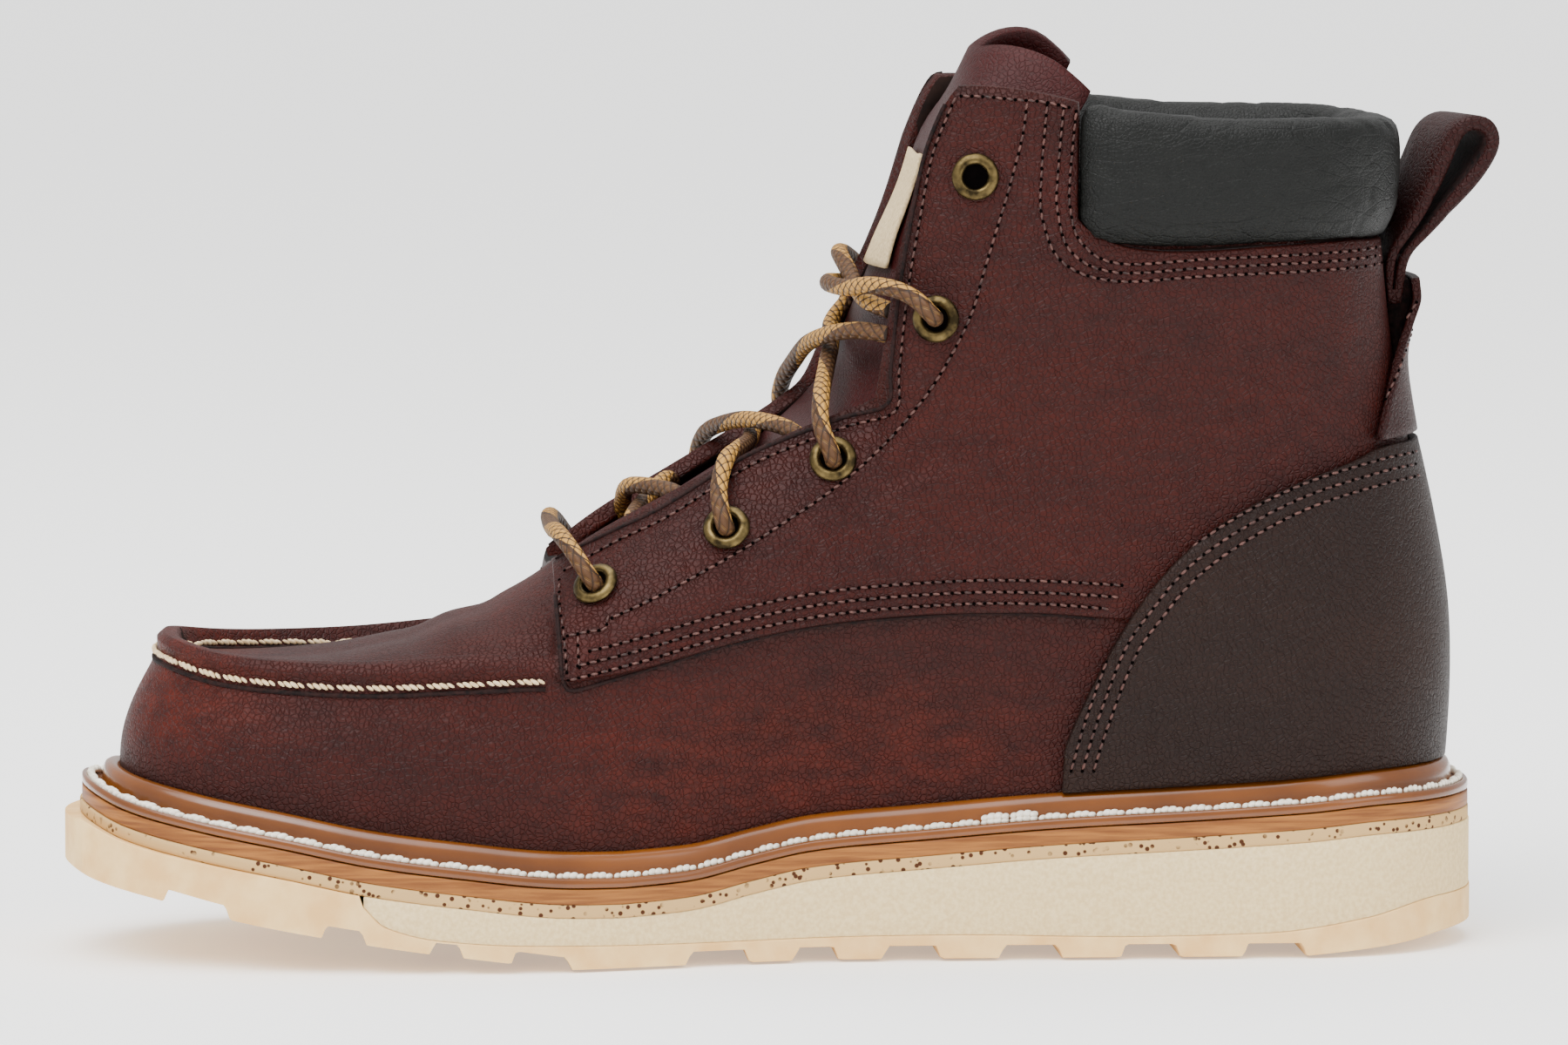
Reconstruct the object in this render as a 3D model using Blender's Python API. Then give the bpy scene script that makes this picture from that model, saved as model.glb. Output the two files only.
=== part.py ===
# Moc-toe work boot, right foot, standing empty on its sole.
# Metres, +Z up. The toe points along -X, the medial side along -Y, the floor is z = 0.
import math
from bisect import bisect_right
from functools import lru_cache

import bmesh
import bpy
from mathutils import Vector

MM = 0.001

# Driving sizes of the last and the sole
SOLE_LENGTH = 303.5 * MM
BALL_WIDTH = 109.0 * MM
WAIST_WIDTH = 81.0 * MM
HEEL_WIDTH = 79.0 * MM
BOOT_HEIGHT = 178.0 * MM
FOREFOOT_HEIGHT = 14.0 * MM
HEEL_HEIGHT = 28.9 * MM
TOE_RISE = 18.7 * MM
TOE_SPRING = 20.0 * MM
HEEL_BEVEL = 4.3 * MM
TOE_TURN = 5.0 * MM

# Thicknesses
GAP = 0.3 * MM
WALL = 2.2 * MM
QUARTER = 1.8 * MM
COUNTER = 1.9 * MM
BACKSTAY = 1.9 * MM
SLIP_SOLE = 2.8 * MM
MIDSOLE = 3.3 * MM
INSOLE = 3.0 * MM
TREAD = 5.2 * MM
LUG_DEPTH = 2.8 * MM
FLANGE = 2.0 * MM
BEAD_HEIGHT = 5.0 * MM
BEAD_WIDTH = 4.0 * MM
RIDGE_WIDTH = 6.2 * MM
RIDGE_HEIGHT = 4.8 * MM
TONGUE = 2.6 * MM
TONGUE_CLEARANCE = 0.8 * MM
COLLAR_PAD = 8.5 * MM
COLLAR_SWELL = 1.3 * MM
STRAP_WIDTH = 22.0 * MM

# Fittings
EYELET_OUTER = 10.0 * MM
EYELET_HOLE = 5.2 * MM
EYELET_HEIGHT = 1.3 * MM
EYELET_SIDES = 12
COVER_GAP = 0.5 * MM
COUNTER_ROWS = 7
COUNTER_AHEAD = 0.35
COUNTER_FRONT = 0.6335
LACE = 4.2 * MM


def table(names, *rows):
    """A table with named columns. The first column is the place that each row stands at."""
    return {name: tuple(row[i] for row in rows) for i, name in enumerate(names.split())}


# Where the ball, the waist and the heel are widest or narrowest, as shares of the length
BALL_AT = {-1: 0.302, 1: 0.378}
WAIST_AT = {-1: 0.556, 1: 0.582}
HEEL_AT = 0.862

# Outlines seen from above. Ends are shares of SOLE_LENGTH from the sole's own ends,
# ball, waist and heel are half widths as shares of the width that they are named for.
OUTLINES = {
    name: dict(zip(("toe", "back", "ball_in", "ball_out", "waist_in", "waist_out", "heel", "power"), row))
    for name, row in {
        "sole": (0.000, 0.000, 0.477, 0.523, 0.469, 0.531, 0.500, 2.30),
        "feather": (0.040, 0.027, 0.399, 0.445, 0.383, 0.444, 0.412, 2.35),
        "bulge": (0.039, 0.022, 0.427, 0.473, 0.420, 0.485, 0.452, 2.40),
        "seam": (0.066, 0.0235, 0.385, 0.425, 0.488, 0.506, 0.448, 2.50),
    }.items()
}
HEEL_POWER = 2.1

# Side profile of the sole: shares of TOE_RISE and of the heel's rise over the forefoot
PLATFORM = table(
    "at toe heel",
    (0.012, 1.000, 0.000), (0.041, 0.813, 0.000), (0.091, 0.636, 0.000), (0.155, 0.449, 0.000),
    (0.212, 0.267, 0.000), (0.269, 0.144, 0.000), (0.352, 0.010, 0.000), (0.387, 0.000, 0.000),
    (0.433, 0.000, 0.060), (0.480, 0.000, 0.262), (0.522, 0.000, 0.423), (0.597, 0.000, 0.550),
    (0.694, 0.000, 0.705), (0.790, 0.000, 0.805), (0.863, 0.000, 0.893), (0.925, 0.000, 0.987),
    (0.984, 0.000, 1.000),
)
# Underside of the lugs: shares of TOE_SPRING and of HEEL_BEVEL
GROUND = table(
    "at toe heel",
    (0.000, 1.000, 0.000), (0.018, 0.880, 0.000), (0.068, 0.705, 0.000), (0.120, 0.515, 0.000),
    (0.177, 0.360, 0.000), (0.249, 0.195, 0.000), (0.309, 0.080, 0.000), (0.345, 0.000, 0.000),
    (0.870, 0.000, 0.000), (0.940, 0.000, 0.450), (0.970, 0.000, 0.800), (1.000, 0.000, 1.000),
)
# Top of the tread under the wedge, over the floor, as shares of TREAD
WEDGE_AT = 0.204
TREAD_TOP = table(
    "at rise",
    (0.204, 2.870), (0.222, 1.880), (0.260, 1.330), (0.317, 1.100), (0.456, 0.960), (0.620, 1.040),
    (0.742, 0.920), (0.838, 1.020), (0.912, 1.560), (0.967, 2.190), (1.000, 2.230),
)
# Grooves between the lugs of each side, as shares of the length
GROOVES = {
    -1: table(
        "start end",
        (0.068, 0.115), (0.177, 0.209), (0.252, 0.276), (0.308, 0.351), (0.431, 0.477),
        (0.507, 0.540), (0.570, 0.612), (0.652, 0.697), (0.737, 0.780), (0.823, 0.869),
    ),
    1: table(
        "start end",
        (0.040, 0.066), (0.125, 0.160), (0.214, 0.247), (0.283, 0.305), (0.378, 0.420),
        (0.487, 0.505), (0.546, 0.566), (0.622, 0.646), (0.704, 0.731), (0.789, 0.816),
    ),
}
GROOVE_SLOPE = 0.006
RIB_HALF = 0.24
RIB_FOOT = 0.32

# Heights of the upper, as shares of BOOT_HEIGHT: the widest line and the seam with the quarter's foot
BULGE_LINE = table("at height", (0.03, 0.258), (0.20, 0.215), (0.35, 0.200), (0.56, 0.255), (0.90, 0.315))
SEAM_LINE = table(
    "at height",
    (0.066, 0.357), (0.111, 0.339), (0.157, 0.333), (0.211, 0.330), (0.271, 0.334), (0.335, 0.338),
    (0.357, 0.337), (0.403, 0.353), (0.469, 0.385), (0.536, 0.406), (0.621, 0.416), (0.682, 0.415),
    (0.727, 0.408), (0.830, 0.405), (0.984, 0.410),
)
# Stations run from 0 at the toe to 1 at the back seam
QUARTER_AT = 0.3697
COLLAR_AT = 0.632
# Middle of the vamp, forward of the throat: shares of SOLE_LENGTH and BOOT_HEIGHT
VAMP_LINE = table(
    "at along height",
    (0.000, 0.1040, 0.3540), (0.060, 0.1100, 0.3520), (0.120, 0.1340, 0.3485), (0.200, 0.1837, 0.3494),
    (0.260, 0.2364, 0.3690), (0.300, 0.2727, 0.3900), (0.330, 0.3023, 0.4124), (0.352, 0.3320, 0.4438),
    (0.366, 0.3500, 0.4690),
)
# Edge of the throat and rim of the collar: shares of SOLE_LENGTH, BALL_WIDTH and BOOT_HEIGHT;
# flap is how far the lateral edge stands forward of the medial one
TOP_LINE = table(
    "at along half height flap",
    (0.3697, 0.3445, 0.1239, 0.4607, 0.000), (0.3717, 0.3465, 0.1284, 0.4629, 0.000),
    (0.4000, 0.3814, 0.1743, 0.5073, 0.000), (0.4400, 0.4341, 0.2110, 0.5562, 0.000),
    (0.4800, 0.5000, 0.2339, 0.6180, 0.006), (0.5100, 0.5461, 0.2431, 0.6494, 0.026),
    (0.5250, 0.5702, 0.2477, 0.6663, 0.036), (0.5400, 0.5771, 0.2477, 0.7190, 0.032),
    (0.5600, 0.5850, 0.2477, 0.8200, 0.011), (0.5780, 0.5956, 0.2477, 0.9100, 0.000),
    (0.5900, 0.6070, 0.2523, 0.9940, 0.000), (0.6000, 0.6252, 0.2569, 1.0427, 0.000),
    (0.6150, 0.6647, 0.2844, 1.0416, 0.000), (0.6320, 0.7076, 0.3211, 1.0247, 0.000),
    (0.6600, 0.7306, 0.3390, 1.0110, 0.000), (0.7200, 0.7768, 0.3530, 1.0022, 0.000),
    (0.8000, 0.8427, 0.3530, 0.9978, 0.000), (0.8700, 0.8954, 0.3030, 0.9966, 0.000),
    (0.9300, 0.9267, 0.2020, 0.9930, 0.000), (1.0000, 0.9395, 0.0000, 0.9888, 0.000),
)
# Two guides between seam and top: shares of the way up, and shares of BALL_WIDTH outward
SECTIONS = table(
    "at mid cuff mid_out cuff_out",
    (0.000, 0.330, 0.670, 0.000, 0.000), (0.150, 0.330, 0.670, 0.009, 0.009),
    (0.260, 0.330, 0.670, 0.020, 0.018), (0.330, 0.330, 0.670, 0.036, 0.032),
    (0.370, 0.350, 0.690, 0.041, 0.033), (0.440, 0.360, 0.700, 0.038, 0.034),
    (0.480, 0.360, 0.700, 0.028, 0.028), (0.525, 0.360, 0.700, 0.018, 0.020),
    (0.590, 0.380, 0.720, 0.012, 0.018), (0.632, 0.420, 0.770, -0.018, -0.004),
    (0.660, 0.420, 0.735, -0.020, -0.010), (0.700, 0.420, 0.735, -0.020, -0.014),
    (0.800, 0.420, 0.755, -0.018, -0.014), (1.000, 0.440, 0.770, -0.036, -0.042),
)
STATIONS = (
    0.000, 0.020, 0.040, 0.065, 0.090, 0.120, 0.155, 0.190, 0.230, 0.270, 0.305, 0.335, 0.352, 0.366,
    QUARTER_AT, 0.3717, 0.400, 0.430, 0.460, 0.490, 0.510, 0.525, 0.540, 0.560, 0.578, 0.590, 0.600,
    0.615, COLLAR_AT, 0.648, 0.670, 0.700, 0.735, 0.770, 0.805, 0.840, 0.870, 0.900, 0.925, 0.950,
    0.975, 1.000,
)
LAST_VAMP = 0.366

# Front and top edge of the counter: shares of SOLE_LENGTH and BOOT_HEIGHT
COUNTER_EDGE = table(
    "along height",
    (0.6985, 0.255), (0.7090, 0.289), (0.730, 0.381), (0.750, 0.433), (0.781, 0.490), (0.822, 0.538),
    (0.870, 0.575), (0.920, 0.602),
)
COUNTER_BACK = 0.609
# Edge of the backstay, from the counter up: stations and shares of BOOT_HEIGHT
BACKSTAY_EDGE = table("station height", (0.845, 0.580), (0.880, 0.645), (0.917, 0.710), (0.948, 0.757), (0.958, 0.800))

BACKSTAY_GAP = 0.9 * MM
BACKSTAY_LIFT = 5.0 * MM
# Side view of the folded strap, shares of BOOT_HEIGHT. The foot's rows give the depth off the
# shaft's back, the loop's rows the place along the boot from the back of the sole.
STRAP_FOOT = table(
    "height inner_height front front_inside back_inside back",
    (0.772, 0.790, 0.0000, 0.0070, 0.0090, 0.0160), (0.800, 0.803, 0.0000, 0.0100, 0.0125, 0.0225),
    (0.832, 0.832, 0.0010, 0.0135, 0.0165, 0.0300),
)
STRAP_LOOP = table(
    "out_x out_z in_x in_z",
    (-0.0900, 0.8650, -0.0790, 0.8560), (-0.0680, 0.9090, -0.0520, 0.9010), (-0.0500, 0.9490, -0.0330, 0.9420),
    (-0.0380, 0.9840, -0.0220, 0.9720), (-0.0120, 1.0020, -0.0100, 0.9830), (0.0170, 0.9980, 0.0050, 0.9810),
    (0.0290, 0.9720, 0.0110, 0.9660), (0.0210, 0.9460, 0.0030, 0.9490), (-0.0040, 0.9110, -0.0200, 0.9210),
    (-0.0350, 0.8810, -0.0440, 0.8920), (-0.0640, 0.8500, -0.0690, 0.8590),
)
STRAP_TURN = 4.7 * MM

# Eyelets of the medial side: shares of SOLE_LENGTH and BOOT_HEIGHT, and the stations of the edge beside them
EYELETS = ((0.3735, 0.4440), (0.4630, 0.5140), (0.5375, 0.5940), (0.6100, 0.7650), (0.6365, 0.9330))
EYELET_FLAP = (0.39, 0.45, 0.49, 0.555, 0.585)

# Tongue: stations of the throat, its middle in shares of SOLE_LENGTH and BOOT_HEIGHT, and the
# reach of its wings under the quarters in shares of SOLE_LENGTH
TONGUE_SECTIONS = table(
    "at along height wing",
    (0.3760, 0.3560, 0.4520, 0.030), (0.4000, 0.3900, 0.4930, 0.045), (0.4400, 0.4400, 0.5440, 0.050),
    (0.4800, 0.5000, 0.6040, 0.050), (0.5100, 0.5410, 0.6480, 0.050), (0.5330, 0.5580, 0.7080, 0.050),
    (0.5500, 0.5650, 0.7750, 0.050), (0.5660, 0.5770, 0.8450, 0.055), (0.5780, 0.5960, 0.9000, 0.065),
    (0.5880, 0.6130, 0.9720, 0.075),
)
TONGUE_TOP = table(
    "along half height",
    (0.637, 0.000, 1.076), (0.645, 0.070, 1.083), (0.662, 0.130, 1.088), (0.690, 0.180, 1.072),
    (0.716, 0.200, 1.030),
)
PATCH_ROWS = (0.735, 0.79, 0.85, 0.91, 0.965)
PATCH_HALF = 0.62
PATCH = 0.9 * MM

# Strands of the lace between the rows of eyelets. Across runs from -1 at the edge that a strand
# leaves to 1 at the edge that it goes under; lift is the height of its middle over the tongue.
STRAND = table(
    "across rise",
    (-0.98, 0.00), (-0.70, 0.16), (-0.30, 0.40), (0.10, 0.60), (0.50, 0.80), (0.84, 0.97),
)
BAR_AT = 0.382
BAR_CREST = 0.350
CROSSINGS = table(
    "start end low high over",
    (0.418, 0.438, 2.9 * MM, 6.0 * MM, -1), (0.460, 0.487, 3.0 * MM, 6.6 * MM, 1),
    (0.507, 0.546, 5.4 * MM, 9.4 * MM, 1),
)
LACE_CLEARANCE = 1.2 * MM
LACE_SIDES = 6
BAR_RISE = 4.4 * MM
# Half knot over the tongue: shares of SOLE_LENGTH, BALL_WIDTH and BOOT_HEIGHT
KNOT = {
    "lace_knot_medial": (
        (0.6038, -0.3615, 0.7725), (0.5811, -0.3211, 0.8000), (0.5643, -0.2339, 0.8022),
        (0.5507, -0.1376, 0.7955), (0.5422, -0.0367, 0.7966), (0.5425, 0.0413, 0.7978),
        (0.5435, 0.0734, 0.7978),
    ),
    "lace_knot_lateral": (
        (0.5880, 0.3523, 0.7742), (0.5633, 0.2954, 0.8191), (0.5547, 0.1972, 0.8258),
        (0.5540, 0.1147, 0.8225), (0.5570, 0.0367, 0.8079), (0.5596, -0.0550, 0.7910),
        (0.5652, -0.1560, 0.7798),
    ),
}

COLOURS = {
    "leather": ((0.105, 0.022, 0.014), 0.50, 0.0),
    "dark leather": ((0.050, 0.016, 0.011), 0.48, 0.0),
    "pad": ((0.012, 0.013, 0.013), 0.55, 0.0),
    "welt": ((0.42, 0.19, 0.055), 0.25, 0.0),
    "midsole": ((0.48, 0.26, 0.10), 0.55, 0.0),
    "foam": ((0.86, 0.76, 0.55), 0.75, 0.0),
    "tread": ((0.86, 0.68, 0.42), 0.60, 0.0),
    "board": ((0.30, 0.20, 0.12), 0.80, 0.0),
    "brass": ((0.32, 0.22, 0.10), 0.35, 1.0),
    "cord": ((0.36, 0.22, 0.06), 0.75, 0.0),
    "patch": ((0.72, 0.60, 0.44), 0.70, 0.0),
}


def read(rows, name, at, key="at"):
    """A smooth curve through one column, without overshoot between the rows."""
    xs = rows[key]
    ys = rows[name]
    if at <= xs[0]:
        return ys[0]
    if at >= xs[-1]:
        return ys[-1]
    i = bisect_right(xs, at) - 1

    def slope(k):
        return (ys[k + 1] - ys[k]) / (xs[k + 1] - xs[k])

    def tangent(k):
        if k == 0:
            return slope(0)
        if k == len(xs) - 1:
            return slope(k - 1)
        before, after = slope(k - 1), slope(k)
        if before * after <= 0:
            return 0.0
        return 2 * before * after / (before + after)

    step = xs[i + 1] - xs[i]
    u = (at - xs[i]) / step
    return (
        (2 * u**3 - 3 * u**2 + 1) * ys[i] + (u**3 - 2 * u**2 + u) * step * tangent(i)
        + (3 * u**2 - 2 * u**3) * ys[i + 1] + (u**3 - u**2) * step * tangent(i + 1)
    )


def ease(value):
    value = min(max(value, 0.0), 1.0)
    return value * value * (3 - 2 * value)


def share_to_x(share):
    return (share - 0.5) * SOLE_LENGTH


def x_to_share(x):
    return x / SOLE_LENGTH + 0.5


# The sole's side profile
def platform(x):
    at = x_to_share(x)
    heel = (HEEL_HEIGHT - FOREFOOT_HEIGHT) * read(PLATFORM, "heel", at)
    return FOREFOOT_HEIGHT + TOE_RISE * read(PLATFORM, "toe", at) + heel


def slip_foot(x):
    return platform(x) - SLIP_SOLE


def midsole_top(x):
    return platform(x) + MIDSOLE


def ground(x):
    at = x_to_share(x)
    return TOE_SPRING * read(GROUND, "toe", at) + HEEL_BEVEL * read(GROUND, "heel", at)


def tread_top(x):
    at = x_to_share(x)
    under_slip = slip_foot(x) - GAP
    if at <= WEDGE_AT:
        return under_slip
    return min(TREAD * read(TREAD_TOP, "rise", at), under_slip - GAP)


# The outlines seen from above
def centre(x):
    """The forefoot's middle bends toward the medial side at the toe."""
    return -TOE_TURN * max(0.0, 1 - x_to_share(x) / BALL_AT[-1]) ** 2


def plan(name, w, inset=0.0, toe_inset=0.0):
    """The point of an outline at station w: medial below 0, lateral above."""
    shape = OUTLINES[name]
    side = -1 if w < 0 else 1
    foot_side = "in" if side < 0 else "out"
    share = (1 - math.cos(math.pi * abs(w))) / 2
    toe = share_to_x(shape["toe"]) + toe_inset
    back = share_to_x(1 - shape["back"]) - inset
    widths = {
        "at": (0.0, BALL_AT[side], WAIST_AT[side], HEEL_AT, 1.0),
        "half": (
            BALL_WIDTH * shape["ball_" + foot_side], BALL_WIDTH * shape["ball_" + foot_side],
            WAIST_WIDTH * shape["waist_" + foot_side], HEEL_WIDTH * shape["heel"], HEEL_WIDTH * shape["heel"],
        ),
    }
    half = read(widths, "half", share) - inset
    if share < BALL_AT[side]:
        power = shape["power"]
        half *= (1 - (1 - share / BALL_AT[side]) ** power) ** (1 / power)
    if share > HEEL_AT:
        half *= (1 - (1 - (1 - share) / (1 - HEEL_AT)) ** HEEL_POWER) ** (1 / HEEL_POWER)
    x = toe + (back - toe) * share
    return x, centre(x) + side * half


def wrap(w):
    if w > 1:
        return w - 2
    if w < -1:
        return w + 2
    return w


# The upper's surface: w runs round it and v runs up through six guides, 0 at the feather to 5 at the top
@lru_cache(maxsize=None)
def guides(w):
    side = -1 if w < 0 else 1
    station = abs(w)
    points = []
    for name in ("feather", "bulge", "seam"):
        x, y = plan(name, w)
        heights = {
            "feather": midsole_top(x) + GAP,
            "bulge": BOOT_HEIGHT * read(BULGE_LINE, "height", x_to_share(x)),
            "seam": BOOT_HEIGHT * read(SEAM_LINE, "height", x_to_share(x)),
        }
        points.append(Vector((x, y, heights[name])))
    if station < QUARTER_AT:
        x = share_to_x(read(VAMP_LINE, "along", station))
        top = Vector((x, centre(x), BOOT_HEIGHT * read(VAMP_LINE, "height", station)))
    else:
        along = read(TOP_LINE, "along", station) - max(side, 0) * read(TOP_LINE, "flap", station)
        half = BALL_WIDTH * read(TOP_LINE, "half", station)
        top = Vector((share_to_x(along), side * half, BOOT_HEIGHT * read(TOP_LINE, "height", station)))
    rise = top - points[2]
    ahead = Vector((*plan("seam", wrap(w + 0.01)), 0)) - Vector((*plan("seam", wrap(w - 0.01)), 0))
    outward = ahead.cross(rise).normalized()
    if outward.dot(Vector((0, 0, 1)) + points[2] - Vector((share_to_x(0.6), 0, points[2].z))) < 0:
        outward.negate()
    for name in ("mid", "cuff"):
        bow = BALL_WIDTH * read(SECTIONS, name + "_out", station)
        points.append(points[2] + rise * read(SECTIONS, name, station) + outward * bow)
    points.append(top)
    return tuple(points)


@lru_cache(maxsize=None)
def column(w):
    """Points and tangents of one column. The vamp's edge is sharp, the quarter's foot is not."""
    points = guides(w)
    spans = [(points[i + 1] - points[i]).length for i in range(5)]
    slopes = [(points[i + 1] - points[i]) / spans[i] for i in range(5)]
    inner = [None] + [
        (slopes[i] * spans[i - 1] + slopes[i - 1] * spans[i]) / (spans[i - 1] + spans[i]) for i in range(1, 5)
    ]
    sharp = 1 - ease((abs(w) - QUARTER_AT) / 0.09)
    below = inner[2].lerp((3 * slopes[1] - inner[1]) / 2, sharp)
    above = inner[2].lerp((3 * slopes[2] - inner[3]) / 2, sharp)
    starts = [(3 * slopes[0] - inner[1]) / 2, inner[1], above, inner[3], inner[4]]
    ends = [inner[1], below, inner[3], inner[4], (3 * slopes[4] - inner[4]) / 2]
    return points, spans, starts, ends


def surface(w, v):
    points, spans, starts, ends = column(round(wrap(w), 6))
    i = min(int(v), 4)
    u = v - i
    return (
        (2 * u**3 - 3 * u**2 + 1) * points[i] + (u**3 - 2 * u**2 + u) * spans[i] * starts[i]
        + (3 * u**2 - 2 * u**3) * points[i + 1] + (u**3 - u**2) * spans[i] * ends[i]
    )


FINE = 20


@lru_cache(maxsize=None)
def lengths(w):
    """Running length up a column, at even steps of v."""
    total = [0.0]
    for k in range(5 * FINE):
        total.append(total[-1] + (surface(w, (k + 1) / FINE) - surface(w, k / FINE)).length)
    return total


def v_at_length(w, length):
    total = lengths(round(wrap(w), 6))
    length = min(max(length, 0.0), total[-1])
    k = min(max(bisect_right(total, length) - 1, 0), 5 * FINE - 1)
    return (k + (length - total[k]) / max(total[k + 1] - total[k], 1e-9)) / FINE


def length_at_v(w, v):
    total = lengths(round(wrap(w), 6))
    k = min(int(v * FINE), 5 * FINE - 1)
    return total[k] + (total[k + 1] - total[k]) * (v * FINE - k)


def normal(w, v):
    """Outward normal, evened out over a few millimetres so that a wall's inside never folds."""
    w = wrap(w)
    length = length_at_v(w, v)
    reach = 6 * MM
    up = surface(w, v_at_length(w, length + reach)) - surface(w, v_at_length(w, length - reach))
    near, far = w - 0.004, w + 0.004
    side = -1 if w < 0 else 1
    station = abs(w)
    if station < QUARTER_AT:
        limit = LAST_VAMP
        near, far = max(near, -limit), min(far, limit)
    elif station < 0.99:
        inner, outer = max(station - 0.004, QUARTER_AT), station + 0.004
        near, far = sorted((side * inner, side * outer))
    along = surface(far, v) - surface(near, v)
    return along.cross(up).normalized()


def outward(w, v):
    if abs(w) < QUARTER_AT and v > 4.999:
        return (facing(w, v) + facing(-w, v)).normalized()
    return facing(w, v)


def facing(w, v):
    out = normal(w, v)
    middle = Vector((share_to_x(0.62), 0, 0.25 * BOOT_HEIGHT))
    if abs(w) < 0.36:
        middle = Vector((share_to_x(0.25), 0, 0.2 * BOOT_HEIGHT))
    place = surface(w, v)
    middle.x = max(min(place.x, middle.x), share_to_x(0.25)) if abs(w) < 0.75 else middle.x
    middle.z = max(middle.z, place.z - 20 * MM) if v > 2.5 and abs(w) > 0.5 else middle.z
    if out.dot(place - middle) < 0:
        out.negate()
    return out


def skin(w, v, offset):
    return surface(w, v) + outward(w, v) * offset


def overlay(w, v):
    """How far the quarter lifts the outside of the upper: a step, and a slope under the counter."""
    station = abs(w)
    if station <= QUARTER_AT:
        return 0.0
    step = 1.0 if v > 2 else 0.0
    slope = ease((v - 1.2) / 1.6)
    under_counter = ease((station - 0.648) / 0.022)
    fade = 1 - ease((station - 0.72) / 0.2)
    return QUARTER * fade * (step + (slope - step) * under_counter)


# Mesh helpers
def material(name):
    colour, roughness, metallic = COLOURS[name]
    found = bpy.data.materials.get(name)
    if found:
        return found
    made = bpy.data.materials.new(name)
    made.use_nodes = True
    shader = made.node_tree.nodes["Principled BSDF"]
    shader.inputs["Base Color"].default_value = (*colour, 1)
    shader.inputs["Roughness"].default_value = roughness
    shader.inputs["Metallic"].default_value = metallic
    return made


def solid(name, faces, look):
    """One closed mesh from faces given as lists of points."""
    mesh = bpy.data.meshes.new(name)
    bm = bmesh.new()
    for face in faces:
        bm.faces.new([bm.verts.new(point) for point in face])
    bmesh.ops.remove_doubles(bm, verts=bm.verts, dist=0.01 * MM)
    bmesh.ops.dissolve_degenerate(bm, edges=bm.edges, dist=0.005 * MM)
    bmesh.ops.recalc_face_normals(bm, faces=bm.faces)
    bm.to_mesh(mesh)
    bm.free()
    mesh.shade_smooth()
    mesh.set_sharp_from_angle(angle=math.radians(35))
    mesh.materials.append(material(look))
    part = bpy.data.objects.new(name, mesh)
    bpy.context.collection.objects.link(part)
    return part


def loft(name, sections, look, ring=False, flat_ends=False):
    """A solid through closed sections. Open ends are closed by one flat face, or by strips across."""
    faces = []
    count = len(sections[0])
    pairs = list(zip(sections, sections[1:]))
    if ring:
        pairs.append((sections[-1], sections[0]))
    for first, second in pairs:
        for k in range(count):
            n = (k + 1) % count
            faces.append([first[k], first[n], second[n], second[k]])
    if flat_ends:
        faces += [sections[0], sections[-1]]
    elif not ring:
        for end in (sections[0], sections[-1]):
            for k in range(count // 2 - 1):
                faces.append([end[k], end[k + 1], end[count - 2 - k], end[count - 1 - k]])
    return solid(name, faces, look)


def patch(name, outer, inner, look):
    """A sheet between two grids of points, one list for each column."""
    return loft(name, [list(o) + list(reversed(i)) for o, i in zip(outer, inner)], look)


# Sole
SOLE_STATIONS = (0.02, 0.04, 0.065, 0.09, 0.12, 0.155, 0.19, 0.23, 0.27, 0.31, 0.35, 0.39, 0.41, 0.43, 0.445,
                 0.46, 0.48, 0.51, 0.55, 0.59, 0.63, 0.67, 0.71, 0.75, 0.79, 0.83, 0.87, 0.90, 0.925, 0.95,
                 0.98)
TREAD_EDGE = (0.0, 0.0)
SLIP_EDGE = (0.4 * MM, 3.2 * MM)
MIDSOLE_EDGE = (0.6 * MM, 3.8 * MM)
WEDGE_EDGE = (0.2 * MM, 0.0)


def slab(name, low, high, edge, look, start=0.0):
    """A layer of the sole between two heights, each a function of x."""
    sections = []
    first = math.acos(1 - 2 * start) / math.pi
    stations = [w for w in SOLE_STATIONS if w > first + 0.004]
    if start:
        stations.insert(0, first)
    for w in stations:
        loop = []
        for height, side in ((low, -1), (low, 1), (high, 1), (high, -1)):
            x, y = plan("sole", side * w, *edge)
            loop.append(Vector((x, y, height(x))))
        sections.append(loop)
    return loft(name, sections, look)


def lug_lift(side, share):
    """How far a groove lifts the tread's underside."""
    lift = 0.0
    for start, end in zip(GROOVES[side]["start"], GROOVES[side]["end"]):
        depth = min((share - start) / GROOVE_SLOPE, (end - share) / GROOVE_SLOPE, 1.0)
        lift = max(lift, depth)
    return LUG_DEPTH * lift


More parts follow.
